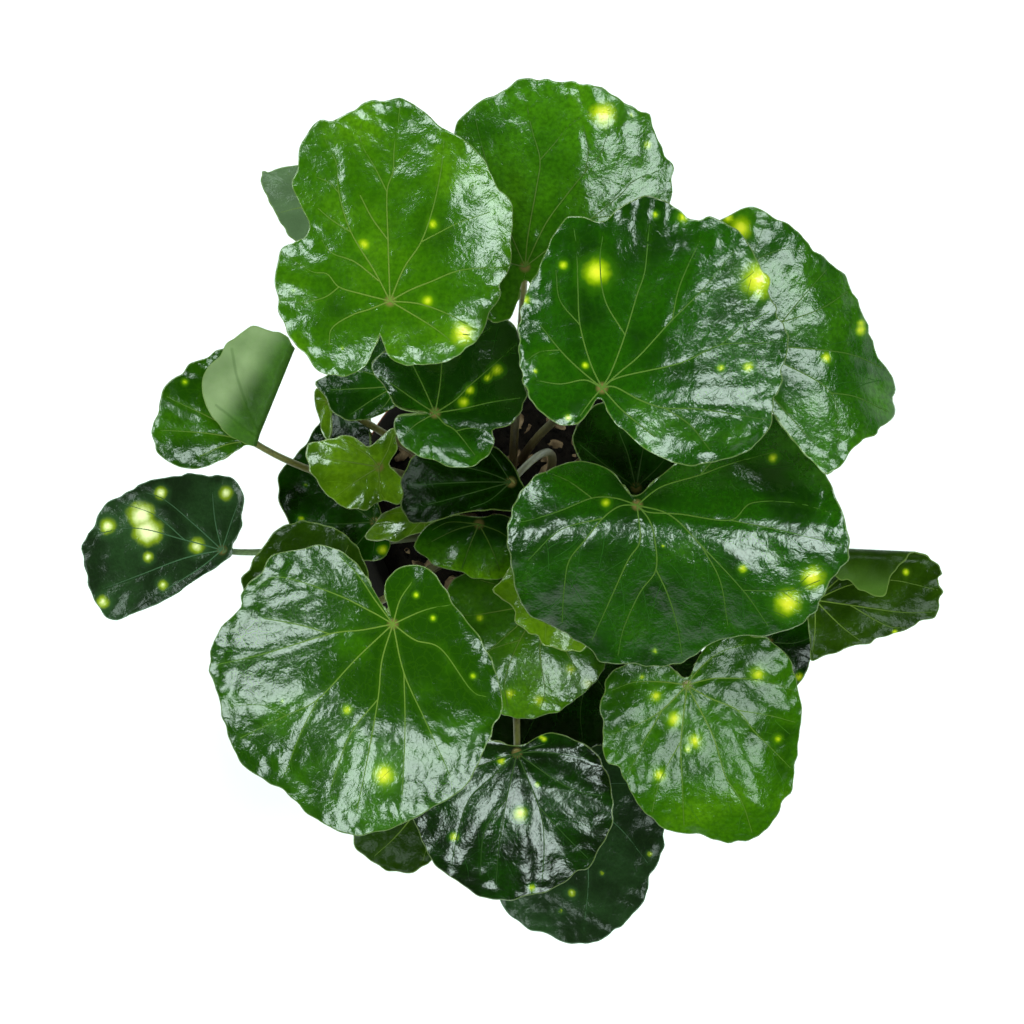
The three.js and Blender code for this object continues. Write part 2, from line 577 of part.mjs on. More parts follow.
// Points closer than one part of this in a millimetre are the same point.
const POINTS_APART = 1e4;

// Closed body ready for cutting, with points that coincide made one.
function toManifold(geometry) {
  const position = geometry.getAttribute('position');
  const order = geometry.index ? Array.from(geometry.index.array)
    : Array.from({ length: position.count }, (_, index) => index);
  const numbers = [];
  const known = new Map();
  const corners = order.map((index) => {
    const point = [position.getX(index), position.getY(index), position.getZ(index)];
    const key = point.map((value) => Math.round(value * POINTS_APART)).join();
    if (!known.has(key)) {
      known.set(key, numbers.length / 3);
      numbers.push(...point);
    }
    return known.get(key);
  });
  const kept = [];
  for (let index = 0; index < corners.length; index += 3) {
    const [a, b, c] = corners.slice(index, index + 3);
    if (a !== b && b !== c && a !== c) kept.push(a, b, c);
  }
  return new wasm.Manifold(new wasm.Mesh({
    numProp: 3,
    vertProperties: new Float32Array(numbers),
    triVerts: new Uint32Array(kept),
  }));
}

// Surface of a body once it is cut.
function fromManifold(body) {
  const mesh = body.getMesh();
  const geometry = new THREE.BufferGeometry();
  geometry.setAttribute('position', new THREE.Float32BufferAttribute(mesh.vertProperties, 3));
  geometry.setIndex(Array.from(mesh.triVerts));
  geometry.computeVertexNormals();
  return geometry;
}

// Turned body about the vertical axis from a profile of radius and height pairs.
function turned(profile) {
  const points = profile.map(([radius, height]) => new THREE.Vector2(radius, height));
  return new THREE.LatheGeometry(points, POT_SEGMENTS).rotateX(Math.PI / 2);
}

// Upright round peg from one height to another.
function peg(x, y, low, high, radius, sides) {
  return new THREE.CylinderGeometry(radius, radius, high - low, sides)
    .rotateX(Math.PI / 2)
    .translate(x, y, (low + high) / 2);
}

// The pot: a plain flower pot with a rim band and three drain holes.
function makePot() {
  const bandFoot = POT_HEIGHT - RIM_BAND_HEIGHT;
  const profile = [
    [0, 0],
    [POT_BASE_RADIUS - POT_EDGE, 0],
    [POT_BASE_RADIUS, POT_EDGE],
    [POT_RIM_RADIUS - RIM_BAND_STEP, bandFoot - POT_EDGE],
    [POT_RIM_RADIUS - POT_EDGE, bandFoot],
    [POT_RIM_RADIUS - POT_EDGE / 2, bandFoot + BAND_ROUNDING],
    [POT_RIM_RADIUS, POT_HEIGHT - BAND_ROUNDING],
    [POT_RIM_RADIUS - POT_EDGE, POT_HEIGHT],
    [innerRadius(POT_HEIGHT) + POT_EDGE, POT_HEIGHT],
    [innerRadius(POT_HEIGHT - POT_EDGE), POT_HEIGHT - POT_EDGE],
    [innerRadius(FLOOR), FLOOR],
    [0, FLOOR],
  ];
  let body = toManifold(turned(profile));
  for (let index = 0; index < DRAIN_COUNT; index += 1) {
    const angle = 2 * Math.PI * index / DRAIN_COUNT;
    const x = DRAIN_CIRCLE * Math.cos(angle);
    const y = DRAIN_CIRCLE * Math.sin(angle);
    const drain = peg(x, y, -CUT_PAST, FLOOR + CUT_PAST, DRAIN_RADIUS, DRAIN_SIDES);
    body = body.subtract(toManifold(drain));
  }
  return fromManifold(body);
}

// The soil: a filled plug with a low mound and a plain hole for each stalk.
function makeSoil() {
  const low = FLOOR + FIT_GAP;
  const top = SOIL_RINGS.map((share) => {
    const radius = soilRadius(SOIL_EDGE_HEIGHT) * share;
    return [radius, soilTop(radius)];
  });
  let body = toManifold(turned([[0, low], [soilRadius(low), low], ...top]));
  const holeRadius = (STALK_BASE_RADIUS + FIT_GAP) / Math.cos(Math.PI / HOLE_SIDES);
  for (const { base: [x, y] } of LEAVES) {
    const ground = soilTop(Math.hypot(x, y));
    const hole = peg(x, y, ground - HOLE_DEPTH, ground + COLLAR, holeRadius, HOLE_SIDES);
    body = body.subtract(toManifold(hole));
  }
  return fromManifold(body);
}

// Named mesh with its own material.
function named(name, geometry, color, roughness) {
  const material = new THREE.MeshStandardMaterial({ color, roughness, metalness: 0 });
  const mesh = new THREE.Mesh(geometry, material);
  mesh.name = name;
  return mesh;
}

const plant = new THREE.Group();
plant.name = 'leopard_plant';
plant.add(named('pot', makePot(), TERRACOTTA, POT_ROUGHNESS));
plant.add(named('soil', makeSoil(), SOIL_BROWN, SOIL_ROUGHNESS));
for (const row of LEAVES) {
  const jointPixel = pairs(row.joint)[0];
  const leaf = { ...row, jointPixel, span: leafSpan(row, jointPixel) };
  const face = bladeFace(leaf);
  const stalkColour = GREEN_STALKED.includes(leaf.colour) ? STALK_GREEN : STALK_BROWN;
  plant.add(named(`blade_${leaf.name}`, makeBlade(face), leaf.colour, BLADE_ROUGHNESS));
  plant.add(named(`stalk_${leaf.name}`, makeStalk(leaf, face), stalkColour, STALK_ROUGHNESS));
}

export default plant;
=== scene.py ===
"""Potted leopard plant: the looks of its leaves, stalks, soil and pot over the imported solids."""

import logging
import math
from dataclasses import dataclass
from enum import Enum
from typing import Mapping, Sequence

import bpy
import numpy as np
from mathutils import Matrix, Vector


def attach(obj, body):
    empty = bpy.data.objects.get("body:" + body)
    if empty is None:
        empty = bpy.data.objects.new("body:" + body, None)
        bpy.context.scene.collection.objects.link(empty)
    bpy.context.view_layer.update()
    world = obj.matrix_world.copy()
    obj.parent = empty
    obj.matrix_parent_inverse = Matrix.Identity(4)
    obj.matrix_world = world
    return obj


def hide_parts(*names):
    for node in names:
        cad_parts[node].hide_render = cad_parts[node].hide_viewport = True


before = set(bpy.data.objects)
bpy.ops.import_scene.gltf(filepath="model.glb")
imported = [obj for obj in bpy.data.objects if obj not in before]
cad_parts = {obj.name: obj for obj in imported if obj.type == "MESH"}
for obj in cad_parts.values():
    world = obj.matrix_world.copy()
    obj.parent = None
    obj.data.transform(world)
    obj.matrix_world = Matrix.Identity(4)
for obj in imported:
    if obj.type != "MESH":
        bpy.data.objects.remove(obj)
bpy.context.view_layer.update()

Pair = tuple[float, float]
Triple = tuple[float, float, float]

LOG = logging.getLogger("leopard_plant")
MM = 0.001
# Stands in for nothing where a number is divided by it.
TINY = 1e-12

# The view that the outlines, veins and spots were read in: straight down the pot's axis.
EYE_HEIGHT = 1394.0
FOCAL_PIXELS = 2417.8
VIEW_CENTRE = 512.0
LENS_MM = 85.0
SENSOR_MM = 36.0

# The soil that the stalks stand in, in millimetres.
SOIL_EDGE_HEIGHT = 133.0
SOIL_MOUND = 6.0

# Samples between two given points of a smooth path.
SPAN_SAMPLES = 12
# Shortest and longest wave of an uneven surface, as shares of its mean wavelength.
WAVE_SPREAD = (0.7, 1.5)
# What coarse and fine noise textures mostly range between.
NOISE_RANGE = (0.35, 0.65)
GRIT_RANGE = (0.3, 0.7)
# Strewn crumbs: greatest tilt in radians, share of the given size, and size of their breaks.
CRUMB_TILT = 0.5
CRUMB_GROWTH = (0.45, 1.3)
CRUMB_GRAIN_MM = 2.2


def srgb(colour: str) -> tuple[float, float, float, float]:
    """Turns an sRGB hex value into a linear colour.

    Args:
        colour: Six hex digits after a hash.

    Returns:
        Linear red, green, blue and a full alpha.
    """
    channels = [int(colour[place:place + 2], 16) / 255 for place in (1, 3, 5)]
    linear = [c / 12.92 if c <= 0.04045 else ((c + 0.055) / 1.055) ** 2.4 for c in channels]
    return (linear[0], linear[1], linear[2], 1.0)


def per_mm(size: float) -> float:
    """Gives the texture scale whose features are a number of millimetres apart."""
    return 1 / (size * MM)


def add_node(
    tree: bpy.types.NodeTree,
    kind: str,
    settings: Mapping[str, object] | None = None,
    inputs: Mapping[str | int, object] | None = None,
) -> bpy.types.Node:
    """Adds one node with its settings and its links.

    Args:
        tree: The node tree that takes the node.
        kind: The node's type name.
        settings: Values for the node's own properties.
        inputs: For each input, by name or number, a value or the socket that feeds it.

    Returns:
        The new node.
    """
    node = tree.nodes.new(kind)
    for name, value in (settings or {}).items():
        setattr(node, name, value)
    for name, value in (inputs or {}).items():
        socket = node.inputs[name]
        if isinstance(value, bpy.types.NodeSocket):
            tree.links.new(value, socket)
        else:
            socket.default_value = value
    return node


def blank_material(name: str) -> tuple[bpy.types.Material, bpy.types.NodeTree]:
    """Makes an empty node material.

    Args:
        name: The material's name.

    Returns:
        The material and its cleared tree.
    """
    material = bpy.data.materials.new(name)
    material.use_nodes = True
    material.node_tree.nodes.clear()
    return material, material.node_tree


def finish_material(tree: bpy.types.NodeTree, shader: bpy.types.Node) -> None:
    """Joins a shader to the material's output."""
    add_node(tree, "ShaderNodeOutputMaterial", inputs={"Surface": shader.outputs[0]})


def blank_geometry(
    name: str, kinds: Mapping[str, str]
) -> tuple[bpy.types.NodeTree, bpy.types.bpy_prop_collection]:
    """Makes a geometry node tree that takes and gives geometry.

    Args:
        name: The tree's name.
        kinds: Kind of socket for each further input's name.

    Returns:
        The tree, and the sockets that its inputs come from.
    """
    tree = bpy.data.node_groups.new(name, "GeometryNodeTree")
    for label, kind in {"Geometry": "Geometry", **kinds}.items():
        tree.interface.new_socket(label, in_out="INPUT", socket_type=f"NodeSocket{kind}")
    tree.interface.new_socket("Geometry", in_out="OUTPUT", socket_type="NodeSocketGeometry")
    return tree, add_node(tree, "NodeGroupInput").outputs


def pairs(text: str) -> np.ndarray:
    """Reads 'x,y x,y' as an array with one row for each point."""
    return np.array([[float(n) for n in pair.split(",")] for pair in text.split()])


def pixel_size(height: float | np.ndarray) -> float | np.ndarray:
    """Gives the millimetres that one view pixel spans at a height."""
    return (EYE_HEIGHT - height) / FOCAL_PIXELS


def place_pixels(pixels: np.ndarray, height: np.ndarray) -> np.ndarray:
    """Finds the points that the view shows at some pixels.

    Args:
        pixels: Column and row of each point.
        height: Height of each point in millimetres.

    Returns:
        Places in millimetres, one row for each point.
    """
    size = pixel_size(height)
    east = (pixels[:, 0] - VIEW_CENTRE) * size
    north = (VIEW_CENTRE - pixels[:, 1]) * size
    return np.stack([east, north, height], axis=1)


def length_of(rows: np.ndarray) -> np.ndarray:
    """Gives the length of each row of a flat offset."""
    return np.hypot(rows[:, 0], rows[:, 1])


def right_of(pixels: np.ndarray, line: np.ndarray) -> np.ndarray:
    """Measures how far pixels lie to the right of a line, in pixels.

    Args:
        pixels: Column and row of each point.
        line: Start and end of the line.

    Returns:
        The distances, below zero on the line's left.
    """
    along = line[1] - line[0]
    offset = pixels - line[0]
    cross = along[0] * offset[:, 1] - along[1] * offset[:, 0]
    return cross / np.hypot(*along)


def smooth_step(value: np.ndarray, low: float, high: float) -> np.ndarray:
    """Rises smoothly from nothing at the low value to one at the high value."""
    share = np.clip((value - low) / (high - low), 0, 1)
    return share * share * (3 - 2 * share)


def smooth_path(points: np.ndarray, spacing: float, closed: bool) -> np.ndarray:
    """Runs a smooth curve through points and resamples it evenly.

    Args:
        points: The points that the curve passes.
        spacing: Distance between samples, in the points' own unit.
        closed: Whether the curve comes back to its start.

    Returns:
        The samples, one row each.
    """
    if closed:
        padded = np.vstack([points[-1:], points, points[:2]])
    else:
        padded = np.vstack([2 * points[:1] - points[1:2], points, 2 * points[-1:] - points[-2:-1]])
    spans = len(padded) - 3
    steps = np.linspace(0, 1, SPAN_SAMPLES, endpoint=False)[:, None]
    pieces = []
    for index in range(spans):
        a, b, c, d = padded[index:index + 4]
        pieces.append(0.5 * (2 * b + (c - a) * steps + (2 * a - 5 * b + 4 * c - d) * steps ** 2
                             + (3 * b - a - 3 * c + d) * steps ** 3))
    dense = np.vstack([*pieces, padded[spans + 1:spans + 2]])
    lengths = np.concatenate([[0], np.cumsum(np.linalg.norm(np.diff(dense, axis=0), axis=1))])
    total = max(int(round(lengths[-1] / spacing)), 2)
    wanted = np.linspace(0, lengths[-1], total + 1)
    even = np.stack([np.interp(wanted, lengths, column) for column in dense.T], axis=1)
    return even[:-1] if closed else even


def nearest(points: np.ndarray, paths: Sequence[np.ndarray]) -> np.ndarray:
    """Measures from each point to the nearest of some paths.

    Args:
        points: The points, one row each.
        paths: Open paths of at least two points.

    Returns:
        The distances.
    """
    best = np.full(len(points), np.inf)
    for path in paths:
        for start, end in zip(path[:-1], path[1:]):
            along = end - start
            share = np.clip((points - start) @ along / max(along @ along, TINY), 0, 1)
            best = np.minimum(best, length_of(points - start - share[:, None] * along))
    return best


def sine_field(points: np.ndarray, length: float, seed: int, count: int = 9) -> np.ndarray:
    """Makes smooth seeded unevenness from crossing sine waves.

    Args:
        points: Places in millimetres, one row each.
        length: Mean wavelength in millimetres.
        seed: Seed of the draw.
        count: Number of waves.

    Returns:
        Values about zero, mostly within one.
    """
    draw = np.random.default_rng(seed)
    turns = draw.uniform(0, math.tau, count)
    lengths = length * draw.uniform(*WAVE_SPREAD, count)
    phases = draw.uniform(0, math.tau, count)
    across = points[:, :1] * np.cos(turns) + points[:, 1:2] * np.sin(turns)
    return np.sin(math.tau * across / lengths + phases).sum(axis=1) / math.sqrt(count)


def split_quads(a: np.ndarray, b: np.ndarray, c: np.ndarray, d: np.ndarray) -> np.ndarray:
    """Splits four-cornered faces into triangles.

    Args:
        a: Point number of each face's first corner.
        b: The same for the second corner.
        c: The same for the third.
        d: The same for the fourth.

    Returns:
        Three point numbers for each triangle.
    """
    return np.vstack([np.stack([a, b, c], axis=1), np.stack([a, c, d], axis=1)])


def ring_steps(count: int) -> tuple[np.ndarray, np.ndarray]:
    """Gives the places round a closed ring of points, and the place after each."""
    here = np.arange(count)
    return here, (here + 1) % count


def join_rings(first: int, rings: int, count: int) -> np.ndarray:
    """Joins rings that lie one after the other and widen, with triangles that face up.

    Args:
        first: Number of the innermost ring's first point.
        rings: Number of rings.
        count: Number of points in each, anticlockwise from above.

    Returns:
        Three point numbers for each triangle.
    """
    here, after = ring_steps(count)
    starts = [first + ring * count for ring in range(rings)]
    return np.vstack([split_quads(inner + here, outer + here, outer + after, inner + after)
                      for inner, outer in zip(starts, starts[1:])])


def ring_points(radius: float, height: float, angles: np.ndarray) -> np.ndarray:
    """Gives the points of a level ring about the upright axis."""
    level = np.full(len(angles), height)
    return np.stack([radius * np.cos(angles), radius * np.sin(angles), level], axis=1)


def turned_points(profile: Sequence[Pair], sides: int) -> tuple[np.ndarray, np.ndarray]:
    """Turns a profile about the upright axis into a closed shell.

    Args:
        profile: Radius and height pairs from the lower end on the axis to the upper.
        sides: Number of sides round the axis.

    Returns:
        Points in millimetres and the triangles between them.
    """
    angles = np.linspace(0, math.tau, sides, endpoint=False)
    rings = [ring_points(radius, height, angles) for radius, height in profile[1:-1]]
    points = np.vstack([[[0, 0, profile[0][1]]], *rings, [[0, 0, profile[-1][1]]]])
    here, after = ring_steps(sides)
    corners = [np.stack([np.zeros(sides, int), 1 + after, 1 + here], axis=1)]
    for ring in range(len(rings) - 1):
        low, high = 1 + ring * sides, 1 + (ring + 1) * sides
        corners.append(split_quads(low + here, low + after, high + after, high + here))
    top = 1 + (len(rings) - 1) * sides
    corners.append(np.stack([top + here, top + after, np.full(sides, len(points) - 1)], axis=1))
    return points, np.vstack(corners)


def triangle_mesh(name: str, points: np.ndarray, corners: np.ndarray) -> bpy.types.Mesh:
    """Makes a smooth mesh from triangles.

    Args:
        name: The mesh's name.
        points: Places in millimetres, one row each.
        corners: Three point numbers for each triangle.

    Returns:
        The mesh, in metres.
    """
    mesh = bpy.data.meshes.new(name)
    mesh.vertices.add(len(points))
    mesh.vertices.foreach_set("co", (points * MM).ravel())
    mesh.loops.add(len(corners) * 3)
    mesh.loops.foreach_set("vertex_index", corners.astype(np.int32).ravel())
    mesh.polygons.add(len(corners))
    mesh.polygons.foreach_set("loop_start", np.arange(0, 3 * len(corners), 3, dtype=np.int32))
    mesh.update()
    mesh.validate()
    mesh.shade_smooth()
    return mesh


def give_numbers(mesh: bpy.types.Mesh, marks: Mapping[str, np.ndarray]) -> None:
    """Stores one number for each point of a mesh under each name."""
    for name, values in marks.items():
        mesh.attributes.new(name, "FLOAT", "POINT").data.foreach_set("value", values.astype(np.float32))


def put_in_scene(name: str, mesh: bpy.types.Mesh) -> bpy.types.Object:
    """Puts a mesh in the scene as an object at the origin."""
    thing = bpy.data.objects.new(name, mesh)
    bpy.context.scene.collection.objects.link(thing)
    return thing


def settle(thing: bpy.types.Object) -> bpy.types.Mesh:
    """Takes an object's modifiers off.

    Args:
        thing: The object.

    Returns:
        The mesh that the modifiers made.
    """
    bpy.context.view_layer.update()
    graph = bpy.context.evaluated_depsgraph_get()
    mesh = bpy.data.meshes.new_from_object(thing.evaluated_get(graph))
    thing.modifiers.clear()
    return mesh


def grow_piece(
    name: str, start: bpy.types.Mesh, tree: bpy.types.NodeTree, values: Mapping[str, object]
) -> bpy.types.Object:
    """Turns what a geometry node tree makes into a plain mesh piece.

    Args:
        name: The finished piece's name.
        start: The mesh that the tree starts from.
        tree: The tree.
        values: A value for each named input, set by the input's identifier.

    Returns:
        The finished piece.
    """
    host = put_in_scene(f"{name}_host", start)
    modifier = host.modifiers.new("nodes", "NODES")
    modifier.node_group = tree
    for item in tree.interface.items_tree:
        if item.item_type == "SOCKET" and item.in_out == "INPUT" and item.name in values:
            modifier[item.identifier] = values[item.name]
    mesh = settle(host)
    mesh.name = name
    bpy.data.objects.remove(host)
    return put_in_scene(name, mesh)


def declare(piece: bpy.types.Object, node: str | None = None) -> None:
    """Fixes a piece to the plant and hides the solid that it stands for.

    Args:
        piece: The finished piece.
        node: The solid that the piece stands for, if it stands for one.
    """
    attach(piece, "root")
    if node:
        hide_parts(node)
    LOG.info("%s: %d points", piece.name, len(piece.data.vertices))


class Look(Enum):
    """The leaf finishes, each with the record's material slot that it dresses."""

    DARK = "leaf_dark"
    MID = "leaf_mid"
    FRESH = "leaf_fresh"
    OLIVE = "leaf_olive"
    PALE = "leaf_pale"
    BLUE = "leaf_blue_green"
    GREY = "leaf_grey_green"


@dataclass(frozen=True)
class Layer:
    """A tint laid over the blade where its source lies between two values.

    The tint is the name of a colour of the skin. It is full at the first value and gone at the
    second. Without the two values the source itself is the share of the tint.
    """

    tint: str
    source: str
    full_at: float = 0.0
    gone_at: float = 0.0
    share: float = 1.0


# The blade's tints in the order that they are laid on. Distances are in millimetres, and those
# from a spot are in the spot's own radii.
LAYERS = (
    # The toned layers carry painted shade from the tone mark along with the leaf's own tone.
    Layer("body", "toned", 0.66, 0.36),
    Layer("light", "toned", 1.1, 0.66, 0.9),
    Layer("young", "toned", 1.9, 1.15),
    Layer("light", "vein", 0.3, 2.6, 0.12),
    Layer("deep", "mottle", 0.3, 0.7, 0.45),
    Layer("underside", "below"),
    Layer("light", "mesh", 0.0, 0.09, 0.06),
    Layer("deep", "vein", 0.2, 1.0, 0.3),
    Layer("light", "ragged", 1.05, 2.4, 0.5),
    Layer("spot", "ragged", 0.7, 1.55),
    Layer("spot_heart", "ragged", 0.3, 1.05),
    Layer("rim", "margin", 0.15, 0.6, 0.55),
    Layer("navel", "hub", 1.0, 3.2, 0.85),
)


@dataclass(frozen=True)
class LeafSkin:
    """Living leaf with a thick waxy cuticle: glossy above, matte and paler below.

    The tissue domes up between sunken veinlets, which breaks every reflection into short
    crooked streaks. Firefly spots are patches without chlorophyll, soft at their edges.
    """

    look: Look
    deep: str
    body: str
    light: str
    young: str = "#5c8c04"
    underside: str = "#829167"
    rim: str = "#66783a"
    vein: str = "#566b20"
    navel: str = "#6c5c34"
    spot: str = "#7d9600"
    spot_heart: str = "#c3c02a"
    gloss_roughness: float = 0.2
    matte_roughness: float = 0.6
    specular_level: float = 0.05
    coat_roughness: float = 0.16
    coat_ior: float = 1.58
    vein_roughness: float = 0.5
    vein_specular_level: float = 0.12
    fold_mm: float = 0.14
    fold_size_mm: float = 7.0
    crinkle_mm: float = 0.115
    crinkle_size_mm: float = 1.7
    wrinkle_twist: float = 0.8
    areole_mm: float = 0.12
    blotch_size_mm: float = 24.0
    mottle_size_mm: float = 1.8
    veinlet_size_mm: float = 5.0
    veinlet_bend_mm: float = 6.0
    spot_raggedness: float = 0.7
    underside_share: Pair = (0.55, 0.95)

    def material(self) -> bpy.types.Material:
        """Builds the blade's material.

        Returns:
            The material, which reads the marks that a blade stores at its points.
        """
        material, tree = blank_material(f"waxy_{self.look.value}")
        place = add_node(tree, "ShaderNodeTexCoord").outputs["Object"]
        near = {name: add_node(tree, "ShaderNodeAttribute", {"attribute_name": name}).outputs["Fac"]
                for name in ("vein", "spot", "margin", "under", "hub", "tone", "wax_and_shade")}
        blotch, mottle, bend = (add_node(tree, "ShaderNodeTexNoise", inputs={
            "Vector": place, "Scale": per_mm(size), "Detail": 3.0})
            for size in (self.blotch_size_mm, self.mottle_size_mm, self.veinlet_size_mm))
        crooked = add_node(tree, "ShaderNodeVectorMath", {"operation": "MULTIPLY_ADD"}, {
            0: bend.outputs["Color"], 1: (self.veinlet_bend_mm * MM,) * 3, 2: place}).outputs[0]
        mesh = add_node(tree, "ShaderNodeTexVoronoi", {"feature": "DISTANCE_TO_EDGE"}, {
            "Vector": crooked, "Scale": per_mm(self.veinlet_size_mm)}).outputs["Distance"]
        downy = add_node(tree, "ShaderNodeMapRange", inputs={
            "Value": blotch.outputs["Fac"], "From Min": NOISE_RANGE[0], "From Max": NOISE_RANGE[1],
            "To Min": self.underside_share[0], "To Max": self.underside_share[1]}).outputs[0]
        toned, below, ragged = (
            add_node(tree, "ShaderNodeMath", {"operation": operation}, dict(enumerate(values))).outputs[0]
            for operation, *values in (
                ("ADD", blotch.outputs["Fac"], near["tone"]),
                ("MULTIPLY", near["under"], downy),
                ("MULTIPLY_ADD", bend.outputs["Fac"], self.spot_raggedness, near["spot"])))
        sources = {**near, "toned": toned, "below": below, "ragged": ragged, "mesh": mesh,
                   "mottle": mottle.outputs["Fac"]}
        colour = srgb(self.deep)
        for layer in LAYERS:
            share = sources[layer.source]
            if layer.full_at != layer.gone_at:
                share = add_node(tree, "ShaderNodeMapRange", {"interpolation_type": "SMOOTHSTEP"}, {
                    "Value": share, "From Min": layer.full_at, "From Max": layer.gone_at,
                    "To Min": layer.share, "To Max": 0.0}).outputs[0]
            colour = add_node(tree, "ShaderNodeMix", {"data_type": "RGBA"}, {
                0: share, 6: colour, 7: srgb(getattr(self, layer.tint))}).outputs[2]
        gloss = add_node(tree, "ShaderNodeMix", inputs={
            0: near["under"], 2: self.gloss_roughness, 3: self.matte_roughness}).outputs[0]
        skin = self._relief(tree, place, mesh)
        # Coat Weight follows the wax mark, which dims the reflections of low and inner leaves as painted
        # shade.
        finish_material(tree, add_node(tree, "ShaderNodeBsdfPrincipled", inputs={
            "Base Color": colour, "Roughness": gloss, "Specular IOR Level": self.specular_level,
            "Coat Weight": near["wax_and_shade"], "Coat Roughness": self.coat_roughness, "Coat IOR": self.coat_ior,
            "Normal": skin, "Coat Normal": skin}))
        return material

    def vein_material(self) -> bpy.types.Material:
        """Builds the veins' material: pale sap-filled tissue that greens towards its tip.

        Returns:
            The material.
        """
        material, tree = blank_material(f"vein_of_{self.look.value}")
        fade = add_node(tree, "ShaderNodeAttribute", {"attribute_name": "fade"}).outputs["Fac"]
        colour = add_node(tree, "ShaderNodeMix", {"data_type": "RGBA"}, {
            0: fade, 6: srgb(self.vein), 7: srgb(self.body)}).outputs[2]
        finish_material(tree, add_node(tree, "ShaderNodeBsdfPrincipled", inputs={
            "Base Color": colour, "Roughness": self.vein_roughness,
            "Specular IOR Level": self.vein_specular_level}))
        return material

    def _relief(
        self, tree: bpy.types.NodeTree, place: bpy.types.NodeSocket, mesh: bpy.types.NodeSocket
    ) -> bpy.types.NodeSocket:
        """Builds the wrinkled skin.

        Args:
            tree: The material's tree.
            place: The coordinates that the wrinkles lie in.
            mesh: Distance to the nearest veinlet of the skin's net.

        Returns:
            The socket of the bumped normal.
        """
        folds, crinkles = (add_node(tree, "ShaderNodeTexNoise", inputs={
            "Vector": place, "Scale": per_mm(size), "Detail": detail,
            "Distortion": self.wrinkle_twist}).outputs["Fac"]
            for size, detail in ((self.fold_size_mm, 1.5), (self.crinkle_size_mm, 2.0)))
        below = {}
        for height, depth in ((folds, self.fold_mm), (crinkles, self.crinkle_mm), (mesh, self.areole_mm)):
            below = {"Normal": add_node(tree, "ShaderNodeBump", inputs={
                "Strength": 1.0, "Distance": depth * MM, "Height": height, **below}).outputs[0]}
        return below["Normal"]


SKINS = {
    skin.look: skin
    for skin in (
        LeafSkin(Look.DARK, "#061600", "#0e2f00", "#235704", vein="#263e0e"),
        LeafSkin(Look.MID, "#0b2900", "#164000", "#356404", vein="#47601c"),
        LeafSkin(Look.FRESH, "#163700", "#2a5400", "#4a7505"),
        LeafSkin(Look.OLIVE, "#162a01", "#243c04", "#3b520e", underside="#3f5a1c", coat_ior=1.3),
        LeafSkin(Look.PALE, "#3a5a02", "#5f8406", "#8bab34", rim="#8a9658"),
        LeafSkin(Look.BLUE, "#14220f", "#21381b", "#33522a", vein="#3b5a3c", rim="#4a6444",
                 spot="#8a9c10", spot_heart="#f0eeb4", coat_ior=1.36),
        LeafSkin(Look.GREY, "#405236", "#4b603f", "#60744f", gloss_roughness=0.5, coat_ior=1.2),
    )
}


@dataclass(frozen=True)
class Roll:
    """A margin rolled over a line: the line, the radii at its ends in pixels, and the side."""

    line: str
    radii: Pair
    side: int


@dataclass(frozen=True)
class LeafForm:
    """One leaf as read in the view: pixels for outlines, veins and spots, millimetres for the rest.

    A bend is a line and a grade: past the line, on its right, the blade slopes by that grade.
    In the veins, @ stands for the joint.
    A spot is a column, a row, a radius and, where it isn't one, a strength. The tone is how much
    lighter than its finish the leaf is at its joint, and how much more for each centimetre to the
    south. It is partly the leaf's own colour and partly painted shade: the rise to the south
    paints the shade that higher leaves cast over the leaf's northern part. The wax is the share
    of the gloss that the leaf keeps. It is lowered on low and inner leaves as painted shade,
    standing in for the shade that higher leaves cast on their reflections.
    """

    name: str
    joint: str
    height: float
    slope: Pair
    droop: float
    wave: Triple
    look: Look
    base: Pair
    lean: Triple
    rise: Triple
    outline: str
    bends: str = ""
    roll: Roll | None = None
    tone: Pair = (0.0, 0.0)
    # Share of the gloss kept, lowered on low and inner leaves as painted shade on their reflections.
    wax_and_shade: float = 1.0
    veins: str = ""
    spots: str = ""


def tube_tree() -> bpy.types.NodeTree:
    """Builds the node tree that runs a round tapering body along every path of its host.

    Returns:
        A geometry node tree with the inputs Sides and Finish.
    """
    tree, given = blank_geometry("tapering_body", {"Sides": "Int", "Finish": "Material"})
    path = add_node(tree, "GeometryNodeMeshToCurve", inputs={"Mesh": given["Geometry"]})
    girth = add_node(tree, "GeometryNodeInputNamedAttribute", {"data_type": "FLOAT"}, {"Name": "girth"})
    ring = add_node(tree, "GeometryNodeCurvePrimitiveCircle", inputs={
        "Resolution": given["Sides"], "Radius": 1.0})
    body = add_node(tree, "GeometryNodeCurveToMesh", inputs={
        "Curve": path.outputs[0], "Profile Curve": ring.outputs[0],
        "Scale": girth.outputs["Attribute"], "Fill Caps": True})
    plain = add_node(tree, "GeometryNodeRealizeInstances", inputs={"Geometry": body.outputs[0]})
    dressed = add_node(tree, "GeometryNodeSetMaterial", inputs={
        "Geometry": plain.outputs[0], "Material": given["Finish"]})
    add_node(tree, "NodeGroupOutput", inputs={"Geometry": dressed.outputs[0]})
    return tree


